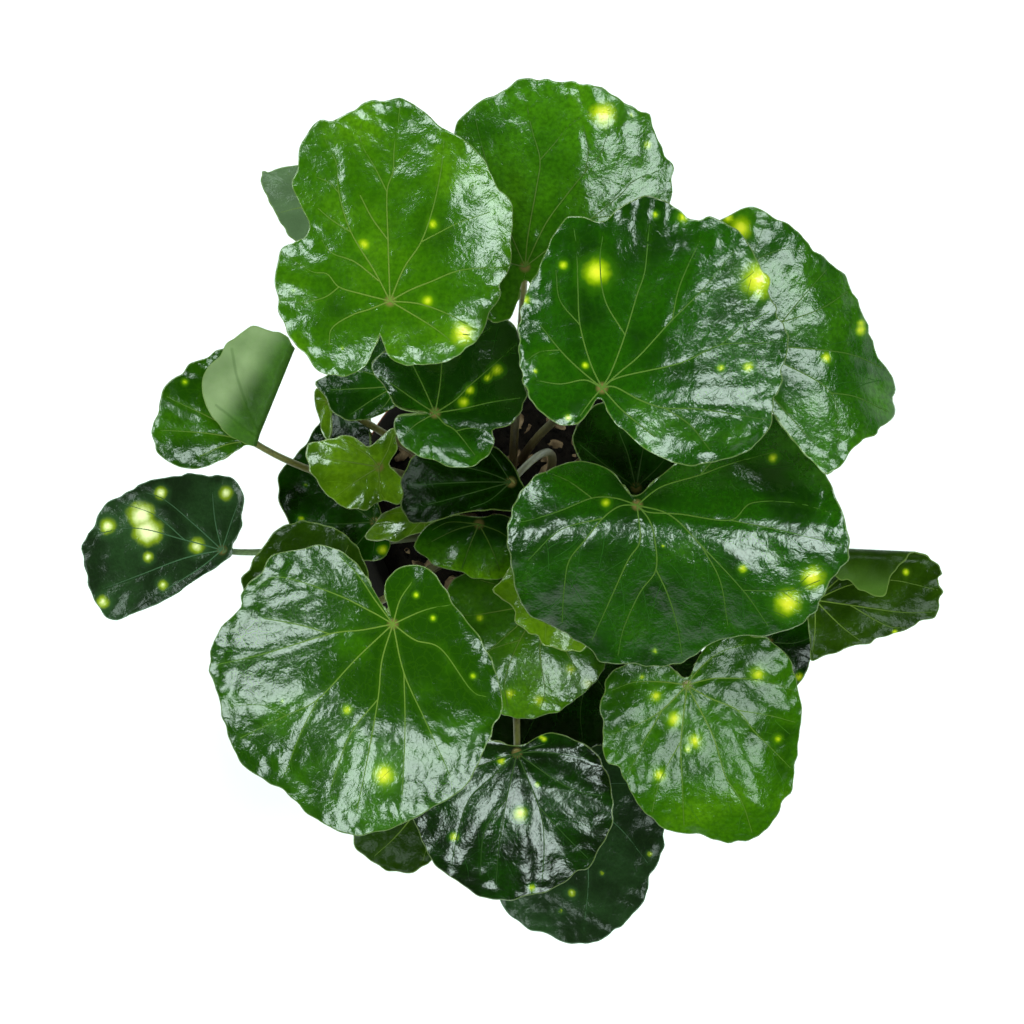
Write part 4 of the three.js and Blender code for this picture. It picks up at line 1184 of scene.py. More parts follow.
LEAVES = (
    LeafForm("north_west", "390,301", 372, (0.06, 0.02), 4, (1.8, 7, 0.4), Look.FRESH,
        base=(-8, 17), lean=(-2, 8, -95), rise=(-4, 16, 70),
        bends="450,380 436,100 -0.38; 280,336 500,320 -0.38", tone=(0.26, 0.0),
        outline="""
        380,334 377,341 372,353 366,365 355,373 343,376 328,374 317,369 305,353 293,342 284,325
        279,308 276,285 276,268 279,254 287,246 297,241 305,238 309,229 308,220 303,210 297,197
        292,183 297,168 300,148 303,138 310,130 318,121 330,121 341,117 355,109 368,101 385,100 400,98
        410,101 420,109 432,118 440,127 454,133 472,146 484,160 496,185 508,199 513,212 511,250
        510,267 501,284 500,296 486,321 481,336 468,346 452,360 428,365 402,364 389,357 383,344""",
        veins="""
        @ 388,240 387,192 393,172 394,150 398,122 400,104; 387,192 375,168 361,143 361,124; 393,172
        408,152 423,139; @ 375,272 351,232 339,193 337,165 329,148 322,130; 351,232 332,220 318,208;
        339,193 330,183 317,177; @ 362,294 339,287 327,274 310,271 282,252; 339,287 325,297 303,303; @
        370,309 352,315 332,328 329,345; @ 404,268 421,242 433,208 441,170 444,140; 421,242 440,232
        460,222 490,212; @ 410,290 430,282 462,270 510,267; @ 420,304 450,315 476,330; @ 430,325
        450,340; 379,281 355,262 332,253 322,240; 388,240 372,218 360,195""",
        spots="433,224,5; 364,244,6; 428,301,6; 463,333,9,1.3; 293,291,2; 342,348,4,0.6"),
    LeafForm("north", "525,267", 348, (-0.04, 0.06), 3, (1.6, 6, 1.2), Look.MID,
        base=(0, 19), lean=(0, 2, -90), rise=(1, 16, 70),
        bends="604,300 588,80 -0.36; 492,100 500,260 0.15", tone=(0.55, 0.0), wax_and_shade=0.8,
        outline="""
        522,283 517,303 508,320 494,322 480,312 468,295 460,270 456,240 453,210 450,180 450,155
        455,132 460,119 470,110 480,102 487,97 500,93 510,86 520,79 530,79 560,82 573,82 581,85 600,86
        615,97 626,103 640,110 648,114 653,125 657,135 664,154 671,162 674,170 671,180 673,190 670,204
        664,225 650,250 630,272 608,286 588,296 566,302 548,302 535,292 528,281""",
        veins="""
        @ 528,235 536,190 540,160 532,130 525,97; 540,160 555,143 570,125 595,108; @ 545,225 565,197
        585,172 600,155 608,135 628,122; @ 560,240 592,218 620,195 635,180 672,166; @ 505,220 492,180
        480,140 474,112; 505,220 480,190 462,165; @ 500,262 478,268; 592,218 620,215 650,212; 585,172
        588,150 583,125""",
        spots="603,114,10,1.3; 648,145,5; 632,115,3"),
    LeafForm("top", "602,388", 385, (0.02, 0), 3, (1.8, 7, 2.1), Look.MID,
        base=(5, 27), lean=(-8, -2, -90), rise=(8, 14, 80),
        bends="650,420 700,200 -0.3; 560,416 800,372 -0.34; 562,210 528,400 -0.2",
        tone=(0.12, 0.01), wax_and_shade=0.9,
        outline="""
        597,399 590,410 580,422 570,425 558,424 545,415 535,405 527,392 522,375 519,355 520,315
        524,300 530,285 537,272 544,255 551,240 558,228 567,218 577,217 590,219 600,222 607,220
        617,210 628,202 640,197 652,196 661,199 672,205 680,211 690,218 700,220 709,216 718,219
        730,226 745,237 757,260 770,282 769,292 778,315 783,325 789,338 787,352 783,368 779,392
        774,398 771,425 760,440 745,452 725,460 705,463 690,466 670,461 655,454 640,445 628,434
        615,423 607,410 603,401""",
        veins="""
        @ 590,362 580,325 578,290 577,255 574,228; 580,325 560,300 556,270; @ 612,370 625,335 637,295
        645,270 649,225; 625,335 605,300 600,262 603,236; @ 620,372 640,355 672,320 700,292 735,250;
        672,320 680,285 700,240; 700,292 735,285 765,262; @ 620,377 680,363 720,345 760,343 784,338;
        720,345 745,325 772,310; @ 615,387 640,400 665,408 700,409 770,420; 665,408 690,425 710,450; @
        620,408 640,425 655,437; @ 585,380 560,384 535,380; @ 578,368 560,350 540,325; 560,350 540,352
        524,362; @ 590,402 580,416""",
        spots="""
        597,272,10,1.3; 563,265,5; 655,215,4; 683,217,6; 758,280,13,1.3; 585,365,4; 535,371,3;
        568,418,4; 748,367,6; 721,368,4; 526,300,5"""),
    LeafForm("north_east", "728,338", 362, (-0.14, 0), 2, (1.5, 6, 0.2), Look.MID,
        base=(24, 17), lean=(-6, -6, -90), rise=(8, 6, 80),
        bends="806,470 770,220 -0.14; 874,470 808,220 -0.8", tone=(0.34, 0.0), wax_and_shade=0.75,
        outline="""
        718,338 706,326 697,305 692,280 695,255 706,234 720,220 735,212 742,208 755,209 765,211
        775,218 788,224 800,235 808,242 815,252 828,260 840,270 848,280 855,295 862,312 868,325
        869,335 875,350 882,362 890,373 895,383 896,392 894,400 894,415 890,422 880,428 877,435
        868,438 862,440 850,452 845,462 835,470 825,473 812,461 798,446 784,428 770,408 757,388
        745,372 734,359 723,348""",
        veins="""
        @ 752,330 782,322 820,309 850,290; @ 760,345 788,347 849,354 890,372; @ 760,356 784,364
        831,393 838,440 835,462; 831,393 856,397 888,412; @ 752,370 775,400 820,450; @ 735,300 750,262
        765,222; 750,262 780,250 810,250; @ 712,310 700,285; 782,322 800,300 826,270""",
        spots="741,228,8,1.3; 728,218,6; 861,330,6; 861,324,5; 826,358,6"),
    LeafForm("middle_east", "637,505", 328, (0, -0.18), 2, (2, 7, 0.9), Look.MID,
        base=(19, -2), lean=(-2, -4, -80), rise=(10, -1, 70),
        bends="500,514 850,548 -1", tone=(0.08, 0.0),
        outline="""
        630,494 615,474 599,465 579,461 562,464 546,471 530,481 519,496 511,515 507,535 510,556
        514,581 521,604 534,618 555,627 573,639 592,652 603,663 629,664 651,666 677,664 695,655
        713,643 736,636 755,636 773,635 798,625 817,609 824,593 831,579 842,568 849,549 847,529
        840,506 831,485 822,466 798,428 770,414 730,426 695,450 670,468 650,485 640,494""",
        veins="""
        @ 620,506 603,518 585,540 569,561 564,590 562,622; @ 648,518 654,535 656,569 640,592 624,627
        618,655; 656,569 668,595 677,625 682,655; @ 670,515 701,545 743,590 768,625; 701,545 720,580
        728,625; @ 648,512 680,514 730,520 752,503 796,503 838,515; 730,520 780,530 842,545; @ 661,487
        700,475 730,464 775,452; 700,475 720,455 745,446; @ 615,498 592,498 562,510 530,520 514,522;
        592,498 570,482 552,474; 603,518 560,530 528,560; @ 640,540 628,560 610,600 592,640; 743,590
        790,590 820,580""",
        spots="813,578,9,1.3; 788,603,10,1.3; 743,569,5; 606,503,5; 773,458,5; 655,651,3; 663,546,2"),
    LeafForm("south_west", "393,624", 335, (0.02, 0), 3, (1.8, 7, 1.6), Look.FRESH,
        base=(-14, -12), lean=(-9, 12, -60), rise=(-14, -8, 70),
        bends="372,560 300,730 -0.3; 290,690 500,752 -0.34", tone=(-0.16, 0.02), wax_and_shade=0.85,
        outline="""
        388,614 378,597 361,569 350,558 334,548 317,545 300,549 280,552 267,561 261,573 243,591
        240,608 226,621 217,636 209,657 211,677 218,694 222,716 229,735 236,755 248,770 269,783
        285,792 304,811 321,822 350,835 373,833 402,824 421,814 441,804 460,792 471,777 482,755
        493,729 502,709 499,683 490,657 480,638 464,618 449,597 434,573 423,565 406,565 393,573
        385,583 386,599 390,614""",
        veins="""
        @ 372,612 335,594 280,577 252,588; @ 362,630 330,634 267,653 216,665; 330,634 300,625 262,618;
        @ 357,658 318,699 287,715 240,738; 318,699 300,735 285,775; @ 382,660 378,699 367,761 356,814;
        378,699 350,735 330,790; @ 404,673 425,720 451,777; 404,673 405,730 402,800; @ 415,640 441,649
        471,690 486,697; @ 425,610 451,605; @ 375,600 358,575 340,556; @ 400,600 412,582; 287,715
        262,705 230,706""",
        spots="347,710,5; 384,775,8,1.3; 416,595,3; 433,618,3; 473,676,3; 282,701,4,0.6"),
    LeafForm("south_west_behind", "340,622", 290, (0, -0.05), 3, (1, 5, 0.5), Look.OLIVE,
        base=(-23, -18), lean=(8, 2, -60), rise=(-12, -8, 60), wax_and_shade=0.6,
        outline="""
        353,627 366,640 368,660 354,680 330,690 300,685 270,668 250,640 243,612 243,590 243,579
        252,562 265,545 278,529 298,522 317,523 339,531 356,545 363,560 368,576 368,594 364,608
        354,618"""),
    LeafForm("south", "517,753", 242, (-0.04, 0.08), 4, (2, 8, 0.3), Look.DARK,
        base=(1, -29), lean=(0, 9, -24), rise=(0, -18, 60),
        bends="400,778 620,812 -0.3; 524,740 506,900 -0.22", wax_and_shade=0.85,
        outline="""
        523,745 535,738 548,733 563,735 581,742 594,751 604,766 611,785 613,811 609,833 600,848
        589,868 578,872 563,883 548,892 527,896 513,900 498,899 479,897 466,887 451,876 433,863
        422,840 413,820 412,800 418,782 430,766 446,755 463,747 480,742 496,741 509,745""",
        veins="""
        @ 492,777 470,798 459,829 452,862; @ 507,798 499,846 496,888; @ 539,807 544,842 542,881; @
        557,781 581,792 604,796; @ 490,762 455,778 425,800; @ 545,752 589,759; 507,798 485,830
        480,875; 539,807 565,835 588,858; @ 530,748 545,744""",
        spots="""
        520,814,6,1.2; 454,837,5; 532,888,4; 537,785,3; 544,739,3; 501,761,5; 529,735,6,0.7;
        541,737,5,0.7"""),
    LeafForm("south_east", "687,685", 262, (0, 0.24), 2, (1.8, 7, 2.6), Look.FRESH,
        base=(21, -20), lean=(-12, 8, -30), rise=(16, -14, 70),
        bends="600,800 800,808 -0.5; 766,850 768,640 -0.6", tone=(-0.05, 0.05), wax_and_shade=0.45,
        outline="""
        681,677 671,667 658,661 640,660 620,667 607,678 604,691 599,707 603,722 603,746 607,761
        619,768 628,787 641,807 655,821 667,831 684,833 699,834 723,842 747,841 764,831 779,814
        782,801 792,793 794,775 797,756 802,717 799,693 793,668 786,654 770,641 750,635 728,635
        711,642 701,653 695,664 690,676""",
        veins="""
        @ 681,741 682,777 684,825; @ 713,736 725,775 742,802 752,832; @ 710,698 737,710 754,731
        774,751 790,768; @ 705,680 721,678 760,680 792,690; @ 662,710 638,724 608,735; @ 665,682
        635,682 612,690; 681,741 660,780 652,812; 737,710 768,715 795,722; @ 700,668 720,652 745,644;
        662,710 640,750 628,775""",
        spots="695,741,8; 674,719,8; 659,775,7; 656,696,6; 758,674,8; 778,739,4; 642,677,3; 688,749,4"),
    LeafForm("south_low", "572,792", 180, (0, 0), 2, (1.5, 5, 1.1), Look.BLUE,
        base=(8, -29), lean=(-4, 22, -16), rise=(2, -26, 44), wax_and_shade=0.4,
        outline="""
        566,783 552,777 535,781 515,795 502,815 494,840 492,870 500,901 524,927 548,935 568,944
        596,941 620,926 644,900 650,876 661,857 664,831 660,805 650,780 634,756 614,738 598,729
        580,729 572,742 570,762 571,780""",
        spots="650,854,6,0.6; 572,893,9,0.6; 602,873,5,0.6; 561,911,5,0.6"),
    LeafForm("south_west_low", "421,806", 200, (0, 0.1), 2, (1, 4, 0.6), Look.OLIVE,
        base=(-8, -28), lean=(6, 24, -18), rise=(-4, -22, 48), tone=(-0.3, 0.0), wax_and_shade=0.05,
        outline="""
        430,801 441,808 447,824 443,842 436,856 427,864 414,872 401,873 383,868 368,858 355,846
        353,835 352,818 360,802 376,792 396,788 413,794 424,796"""),
    LeafForm("west_rolled", "250,440", 250, (0, 0), 2, (1, 5, 1.9), Look.FRESH,
        base=(-29, 7), lean=(28, -20, -24), rise=(-20, 0, 62),
        bends="150,436 262,448 -0.42",
        roll=Roll("254,432 281,342", (5, 14), 1), wax_and_shade=0.7,
        outline="""
        246,445 240,449 229,455 219,461 202,468 186,468 172,464 160,455 151,435 152,426 158,415
        160,399 167,385 179,374 192,364 211,356 224,348 240,341 256,338 272,338 288,343 301,351
        329,347 338,352 354,356 359,364 362,382 358,397 356,413 349,427 337,436 319,445 303,449
        293,453 275,452 262,449 255,446""",
        veins="""
        @ 215,420 180,403 164,395; @ 205,433 160,430; @ 225,445 200,456; @ 235,400 222,365; @ 262,410
        270,375 285,352; @ 285,425 325,405 355,385; @ 280,438 320,436""",
        spots="185,382,3; 253,423,4"),
    LeafForm("west_low", "222,550", 190, (0, 0.04), 1, (1.2, 5, 2.2), Look.BLUE,
        base=(-28, -11), lean=(18, -5, -14), rise=(-24, -1, 46),
        bends="100,622 226,556 0.3", wax_and_shade=0.55,
        outline="""
        232,554 224,561 213,569 195,580 178,592 159,603 144,609 130,614 117,620 103,614 95,598 87,585
        86,572 82,549 87,536 95,525 103,507 121,496 146,482 166,478 190,474 208,476 228,477 240,487
        244,500 241,516 242,525 237,536 232,545""",
        veins="""
        @ 195,525 165,500 145,492; @ 185,540 135,528 92,535; @ 185,558 140,575 100,590; @ 215,520
        212,485; @ 232,520 240,498; @ 200,568 165,590; 185,540 155,515 122,503""",
        spots="""
        141,515,9,1.5; 148,531,9.5,1.6; 108,526,9; 161,493,7; 226,493,11,0.8; 148,557,6;
        197,546,10,0.9; 103,602,7; 163,585,8,0.8"""),
    LeafForm("inner_west", "379,467", 250, (0, 0.06), 2, (1.6, 6, 0.7), Look.PALE,
        base=(-18, 8), lean=(8, -2, -50), rise=(-10, 2, 50),
        bends="300,478 410,484 -0.3",
        outline="""
        389,464 397,450 396,438 394,427 381,437 369,447 360,442 349,436 327,440 307,445 309,463
        310,472 319,483 326,495 336,502 345,509 356,508 367,509 376,504 383,500 390,503 399,504
        405,492 403,480 396,472""",
        veins="""
        @ 350,462 320,458; @ 355,482 336,496; @ 380,490 384,498; @ 368,455 350,444; @ 388,450 393,434"""),
    LeafForm("inner_crinkled", "424,519", 238, (0.05, 0), 2, (1.6, 7, 0.1), Look.PALE,
        base=(-20, -3), lean=(4, 0, -40), rise=(-8, 0, 50),
        bends="398,500 392,550 -0.3",
        outline="""
        433,522 428,530 419,533 408,536 397,542 389,540 385,539 377,541 367,539 365,536 372,526
        383,513 394,508 405,506 420,507 430,511 435,516"""),
    LeafForm("inner_north", "435,413", 318, (-0.02, 0.06), 2, (1.6, 6, 1.4), Look.MID,
        base=(-7, 8), lean=(4, 0, -70), rise=(-8, 8, 60),
        bends="524,430 508,320 -0.5; 390,430 500,452 -0.35", tone=(-0.1, 0.22), wax_and_shade=0.7,
        outline="""
        425,412 404,409 394,403 383,385 371,368 384,352 402,340 424,330 448,322 472,318 496,318
        514,326 522,344 523,362 524,381 527,394 522,406 517,419 508,426 495,429 493,433 492,449
        481,461 469,468 456,468 436,461 420,456 406,449 397,436 394,424 397,416 412,414.6 426,413.4""",
        veins="""
        @ 424,388 411,362 400,346; @ 440,385 442,362 445,330; @ 455,400 469,386 483,374 515,345; @
        415,400 395,386 380,376; @ 465,408 492,402 520,398; @ 445,424 456,431 475,455; @ 415,425
        402,438; 442,362 465,345 490,328; 456,431 470,428 488,430""",
        spots="497,370,6; 487,378,4; 470,390,5; 464,402,6"),
    LeafForm("inner_middle", "511,482", 292, (0.04, 0.05), 2, (1.2, 5, 0.5), Look.DARK,
        base=(17, 12), lean=(17, 20, -22), rise=(8, 22, 60),
        bends="414,450 410,530 -0.4", tone=(-0.3, 0.0), wax_and_shade=0.03,
        outline="""
        520,480 516,470 506,456 493,446 476,439 458,437 438,441 422,450 410,461 402,476 401,492
        403,511 411,522 424,523 442,519 461,513 479,511 495,510 511,511 522,507 527,498 525,488""",
        veins="""
        @ 475,492 442,501 412,508; @ 492,474 474,469 440,462; @ 490,500 470,508; @ 470,482 410,485; @
        498,462 485,446"""),
    LeafForm("inner_south", "479,524", 267, (0, 0.05), 1, (1, 5, 2.5), Look.MID,
        base=(-9, -3), lean=(2, 0, -50), rise=(-2, -1, 50),
        bends="410,549 515,560 -0.4", tone=(-0.2, 0.6), wax_and_shade=0.4,
        outline="""
        484,517 496,514 510,518 520,530 523,545 520,560 512,571 501,578 486,579 469,576 454,570
        438,567 426,558 415,549 417,538 426,527 440,519 458,515 474,517""",
        veins="""
        @ 455,530 425,545; @ 470,545 462,568; @ 490,545 500,570; @ 500,532 518,545; @ 450,522 432,530"""),
    LeafForm("lower_middle", "545,602", 248, (0.04, 0.1), 3, (1.4, 6, 1.8), Look.FRESH,
        base=(5, -19), lean=(-2, 6, -50), rise=(2, -8, 50),
        bends="450,648 600,690 -0.36", tone=(0.1, 0.08), wax_and_shade=0.7,
        outline="""
        539,594 528,583 512,573 494,568 475,569 459,576 451,583 447,593 446,610 448,630 453,650
        462,670 474,688 489,705 503,715 521,719 539,717 560,711 574,701 588,689 600,675 607,655
        606,632 597,611 582,598 566,592 552,594""",
        veins="""
        @ 520,640 505,680 508,706; @ 540,650 545,690 540,712; @ 560,640 580,675; @ 505,610 470,615
        450,612; @ 515,628 480,660 470,680; @ 515,590 480,580; @ 575,620 602,640; 520,640 490,650
        465,668""",
        spots="571,670,10,0.7; 588,683,12,0.7; 539,701,15,0.6; 510,694,8,0.8; 480,618,4"),
    LeafForm("crinkled_middle", "578,564", 276, (0.06, 0.14), 1, (1.3, 9, 0.8), Look.PALE,
        base=(8, -7), lean=(-3, 2, -60), rise=(6, -4, 50), wax_and_shade=0.7,
        outline="""
        587,567 597,580 602,600 600,620 593,638 583,648 577,652 566,651 555,648 545,647 538,636
        529,634 523,628 516,621 515,611 508,603 500,597 493,589 501,581 508,569 520,557 538,549
        558,548 574,554""",
        veins="""
        @ 560,590 548,612 545,640; @ 575,600 578,640; @ 545,572 512,585; @ 590,600 597,615; @ 550,582
        525,605; @ 550,560 528,560"""),
    LeafForm("east_rolled", "815,600", 250, (0, 0.06), 2, (1, 5, 0.4), Look.OLIVE,
        base=(29, -8), lean=(-28, 8, -26), rise=(24, -4, 62),
        bends="800,640 940,610 -0.2",
        roll=Roll("830,561 917,565", (12, 12), -1), wax_and_shade=0.3,
        outline="""
        807,604 807,612 808,622 810,645 811,662 822,656 832,654 840,651 848,647 860,645 872,642
        880,638 890,635 905,631 912,626 922,621 933,618 937,614 939,607 940,597 942,592 939,585
        938,578 942,574 940,569 937,563 930,557 922,553 915,546 906,531 899,522 893,512 889,493
        866,497 853,505 841,508 824,520 812,542 804,570 802,590""",
        veins="""
        @ 850,605 900,612 935,612; @ 840,625 862,642; @ 850,585 890,580 938,590; @ 815,630 812,655; @
        835,565 850,530; @ 860,560 895,530; 850,605 885,625 905,628""",
        spots="906,572,4; 895,632,3"),
    LeafForm("north_west_behind", "336,212", 250, (0, 0), 2, (1, 4, 1.3), Look.GREY,
        base=(-11, 28), lean=(6, -12, -50), rise=(-10, 22, 60),
        outline="""
        343,219 340,232 327,242 310,246 294,240 287,232 280,220 272,205 264,190 261,178 262,170
        268,172 275,169 283,167 297,166 315,164 333,169 346,182 350,200"""),
    LeafForm("west_dark", "375,522", 200, (0, -0.2), 2, (1.2, 5, 0.9), Look.DARK,
        base=(-30, -2), lean=(8, 2, -30), rise=(-14, 0, 36), wax_and_shade=0.2,
        outline="""
        384,526 390,540 388,552 376,560 352,562 330,557 312,549 297,537 288,522 281,506 278,492
        279,474 292,460 306,444 318,424 332,408 352,402 368,410 373,430 372,460 374,490 380,508""",
        spots="306,485,5,0.6; 301,519,5,0.8; 383,550,8,0.8"),
    LeafForm("inner_north_west", "396,386", 260, (0.05, -0.05), 2, (1.6, 5, 2), Look.MID,
        base=(-19, 22), lean=(5, -3, -50), rise=(-8, 10, 50),
        bends="316,392 400,392 -0.2", wax_and_shade=0.35,
        outline="""
        404,389 402,398 395,406 381,414 367,419 349,420 335,414 327,401 319,389 316,381 329,374
        345,362 358,344 370,330 388,328 402,342 406,360 405,378""",
        veins="@ 370,388 330,390; @ 372,400 350,415; @ 375,375 350,368; @ 385,405 368,417"),
    LeafForm("young_curl", "330,400", 225, (0.1, 0), 1, (0.8, 3, 0.6), Look.PALE,
        base=(-25, 16), lean=(6, -4, -40), rise=(-14, 8, 50),
        outline="""
        340,398 335,391 326,388 316,389 315,403 320,421 322,433 327,441 331,434 331,420 334,411
        341,407"""),
    LeafForm("middle_dark", "636,488", 303, (0, 0), 2, (1.2, 5, 0.3), Look.DARK,
        base=(27, 6), lean=(-4, -1, -60), rise=(8, 2, 60), wax_and_shade=0.25,
        outline="""
        630,495 616,494 600,486 588,474 579,458 573,442 575,428 585,414 600,404 620,398 645,396
        664,402 676,416 681,434 680,454 672,472 660,485 646,494""",
        veins="""
        @ 628,455 620,434 612,408; @ 638,478 645,440 655,405; @ 605,465 580,445; @ 660,465 678,440"""),
    LeafForm("east_dark", "768,642", 210, (0, 0), 2, (1, 4, 0.7), Look.DARK,
        base=(28, -17), lean=(-24, 10, -24), rise=(22, -10, 50), wax_and_shade=0.3,
        outline="""
        759,638 752,624 762,608 785,600 806,602 817,614 820,632 816,648 811,660 806,671 800,684
        785,692 768,688 756,674 752,656 758,646""",
        spots="799,677,5"),
    LeafForm("south_dark", "590,668", 190, (0, 0.02), 2, (1, 4, 1.5), Look.DARK,
        base=(15, -26), lean=(-10, 20, -12), rise=(2, -8, 24), wax_and_shade=0.35,
        outline="""
        602,653 640,641 684,640 706,660 684,690 640,714 608,742 560,755 510,750 480,730 480,696
        508,664 556,650 584,655"""),
)


@dataclass(frozen=True)
class StalkSkin:
    """Leaf stalk: smooth fleshy tissue, flushed brown below and green towards the blade."""

    slot: str
    low: str
    high: str
    streak: str
    streak_size_mm: float = 1.6
    streak_squash: float = 0.12
    streak_range: Pair = (0.45, 0.7)
    streak_share: float = 0.55
    streak_mm: float = 0.15
    roughness: float = 0.42
    ior: float = 1.45

    def material(self) -> bpy.types.Material:
        """Builds the stalk's material.

        Returns:
            The material.
        """
        material, tree = blank_material(f"fleshy_{self.slot}")
        place = add_node(tree, "ShaderNodeTexCoord").outputs["Object"]
        height = add_node(tree, "ShaderNodeAttribute", {"attribute_name": "fade"}).outputs["Fac"]
        drawn = add_node(tree, "ShaderNodeMapping", inputs={
            "Vector": place, "Scale": (1.0, 1.0, self.streak_squash)})
        streaks = add_node(tree, "ShaderNodeTexNoise", inputs={
            "Vector": drawn.outputs[0], "Scale": per_mm(self.streak_size_mm),
            "Detail": 2.0}).outputs["Fac"]
        line = add_node(tree, "ShaderNodeMapRange", inputs={
            "Value": streaks, "From Min": self.streak_range[0], "From Max": self.streak_range[1],
            "To Min": 0.0, "To Max": self.streak_share}).outputs[0]
        colour = srgb(self.low)
        for share, tint in ((height, self.high), (line, self.streak)):
            colour = add_node(tree, "ShaderNodeMix", {"data_type": "RGBA"}, {
                0: share, 6: colour, 7: srgb(tint)}).outputs[2]
        bump = add_node(tree, "ShaderNodeBump", inputs={
            "Strength": 1.0, "Distance": self.streak_mm * MM, "Height": streaks})
        finish_material(tree, add_node(tree, "ShaderNodeBsdfPrincipled", inputs={
            "Base Color": colour, "Roughness": self.roughness, "IOR": self.ior,
            "Normal": bump.outputs[0]}))
        return material


@dataclass(frozen=True)
class Earthenware:
    """Terracotta: fired red clay, thrown and left bare, dry to the eye with a faint lime bloom.

    The inner wall is darkened near-black, as damp from the soil and painted shade of the leaves
    above, and the top of the rim as painted shade.
    """

    clay: str = "#9c5c3e"
    dark: str = "#824a31"
    bloom: str = "#b08a74"
    # Near-black: painted shade under the leaves, with damp on the inner wall.
    shade_and_damp: str = "#0f0b08"
    cloud_size_mm: float = 38.0
    cloud_range: Pair = (0.35, 0.6)
    bloom_range: Pair = (0.56, 0.74)
    bloom_share: float = 0.6
    grit_size_mm: float = 0.9
    grit_mm: float = 0.12
    grit_tone: Pair = (0.85, 1.12)
    turning_size_mm: float = 2.6
    turning_squash: float = 0.02
    turning_mm: float = 0.25
    inner_base_mm: float = 51.0
    inner_slope: float = 0.19
    shade_and_damp_depth_mm: Pair = (-3.0, -1.0)
    painted_shade_height_mm: Pair = (147.5, 149.5)
    roughness: float = 0.88
    specular_level: float = 0.2

    def material(self) -> bpy.types.Material:
        """Builds the pot's material.

        Returns:
            The material.
        """
        material, tree = blank_material("bare_terracotta")
        place = add_node(tree, "ShaderNodeTexCoord").outputs["Object"]
        drawn = add_node(tree, "ShaderNodeMapping", inputs={
            "Vector": place, "Scale": (self.turning_squash, self.turning_squash, 1.0)}).outputs[0]
        clouds, grit, rings = (add_node(tree, "ShaderNodeTexNoise", inputs={
            "Vector": where, "Scale": per_mm(size), "Detail": detail}).outputs["Fac"]
            for where, size, detail in (
                (place, self.cloud_size_mm, 5.0), (place, self.grit_size_mm, 2.0),
                (drawn, self.turning_size_mm, 2.0)))
        tone, speck = (add_node(tree, "ShaderNodeMapRange", inputs={
            "Value": value, "From Min": start[0], "From Max": start[1],
            "To Min": end[0], "To Max": end[1]}).outputs[0]
            for value, start, end in (
                (clouds, self.cloud_range, (0.0, 1.0)), (grit, GRIT_RANGE, self.grit_tone)))
        level = add_node(tree, "ShaderNodeVectorMath", {"operation": "MULTIPLY"}, {
            0: place, 1: (1.0, 1.0, 0.0)})
        reach = add_node(tree, "ShaderNodeVectorMath", {"operation": "LENGTH"}, {0: level.outputs[0]})
        height = add_node(tree, "ShaderNodeSeparateXYZ", inputs={"Vector": place}).outputs["Z"]
        wall = add_node(tree, "ShaderNodeMath", {"operation": "MULTIPLY_ADD"}, {
            0: height, 1: self.inner_slope, 2: self.inner_base_mm * MM})
        past = add_node(tree, "ShaderNodeMath", {"operation": "SUBTRACT"}, {
            0: wall.outputs[0], 1: reach.outputs["Value"]}).outputs[0]
        # The second and third masks paint near-black shade on the inner wall, with its damp, and on the
        # rim top.
        haze, damp_and_shade, top = (add_node(tree, "ShaderNodeMapRange", {"interpolation_type": "SMOOTHSTEP"}, {
            "Value": value, "From Min": start, "From Max": end,
            "To Min": 0.0, "To Max": share}).outputs[0]
            for value, start, end, share in (
                (clouds, *self.bloom_range, self.bloom_share),
                (past, *(depth * MM for depth in self.shade_and_damp_depth_mm), 1.0),
                (height, *(high * MM for high in self.painted_shade_height_mm), 1.0)))
        painted_shade_and_damp = add_node(tree, "ShaderNodeMath", {"operation": "MAXIMUM"}, {0: damp_and_shade, 1: top}).outputs[0]
        colour = srgb(self.dark)
        for share, tint in ((tone, self.clay), (haze, self.bloom)):
            colour = add_node(tree, "ShaderNodeMix", {"data_type": "RGBA"}, {
                0: share, 6: colour, 7: srgb(tint)}).outputs[2]
        speckled = add_node(tree, "ShaderNodeVectorMath", {"operation": "SCALE"}, {
            0: colour, "Scale": speck})
        colour = add_node(tree, "ShaderNodeMix", {"data_type": "RGBA"}, {
            0: painted_shade_and_damp, 6: speckled.outputs[0], 7: srgb(self.shade_and_damp)}).outputs[2]
        below = {}
        for relief, depth in ((rings, self.turning_mm), (grit, self.grit_mm)):
            below = {"Normal": add_node(tree, "ShaderNodeBump", inputs={
                "Strength": 1.0, "Distance": depth * MM, "Height": relief, **below}).outputs[0]}
        finish_material(tree, add_node(tree, "ShaderNodeBsdfPrincipled", inputs={
            "Base Color": colour, "Roughness": self.roughness,
            "Specular IOR Level": self.specular_level, **below}))
        return material


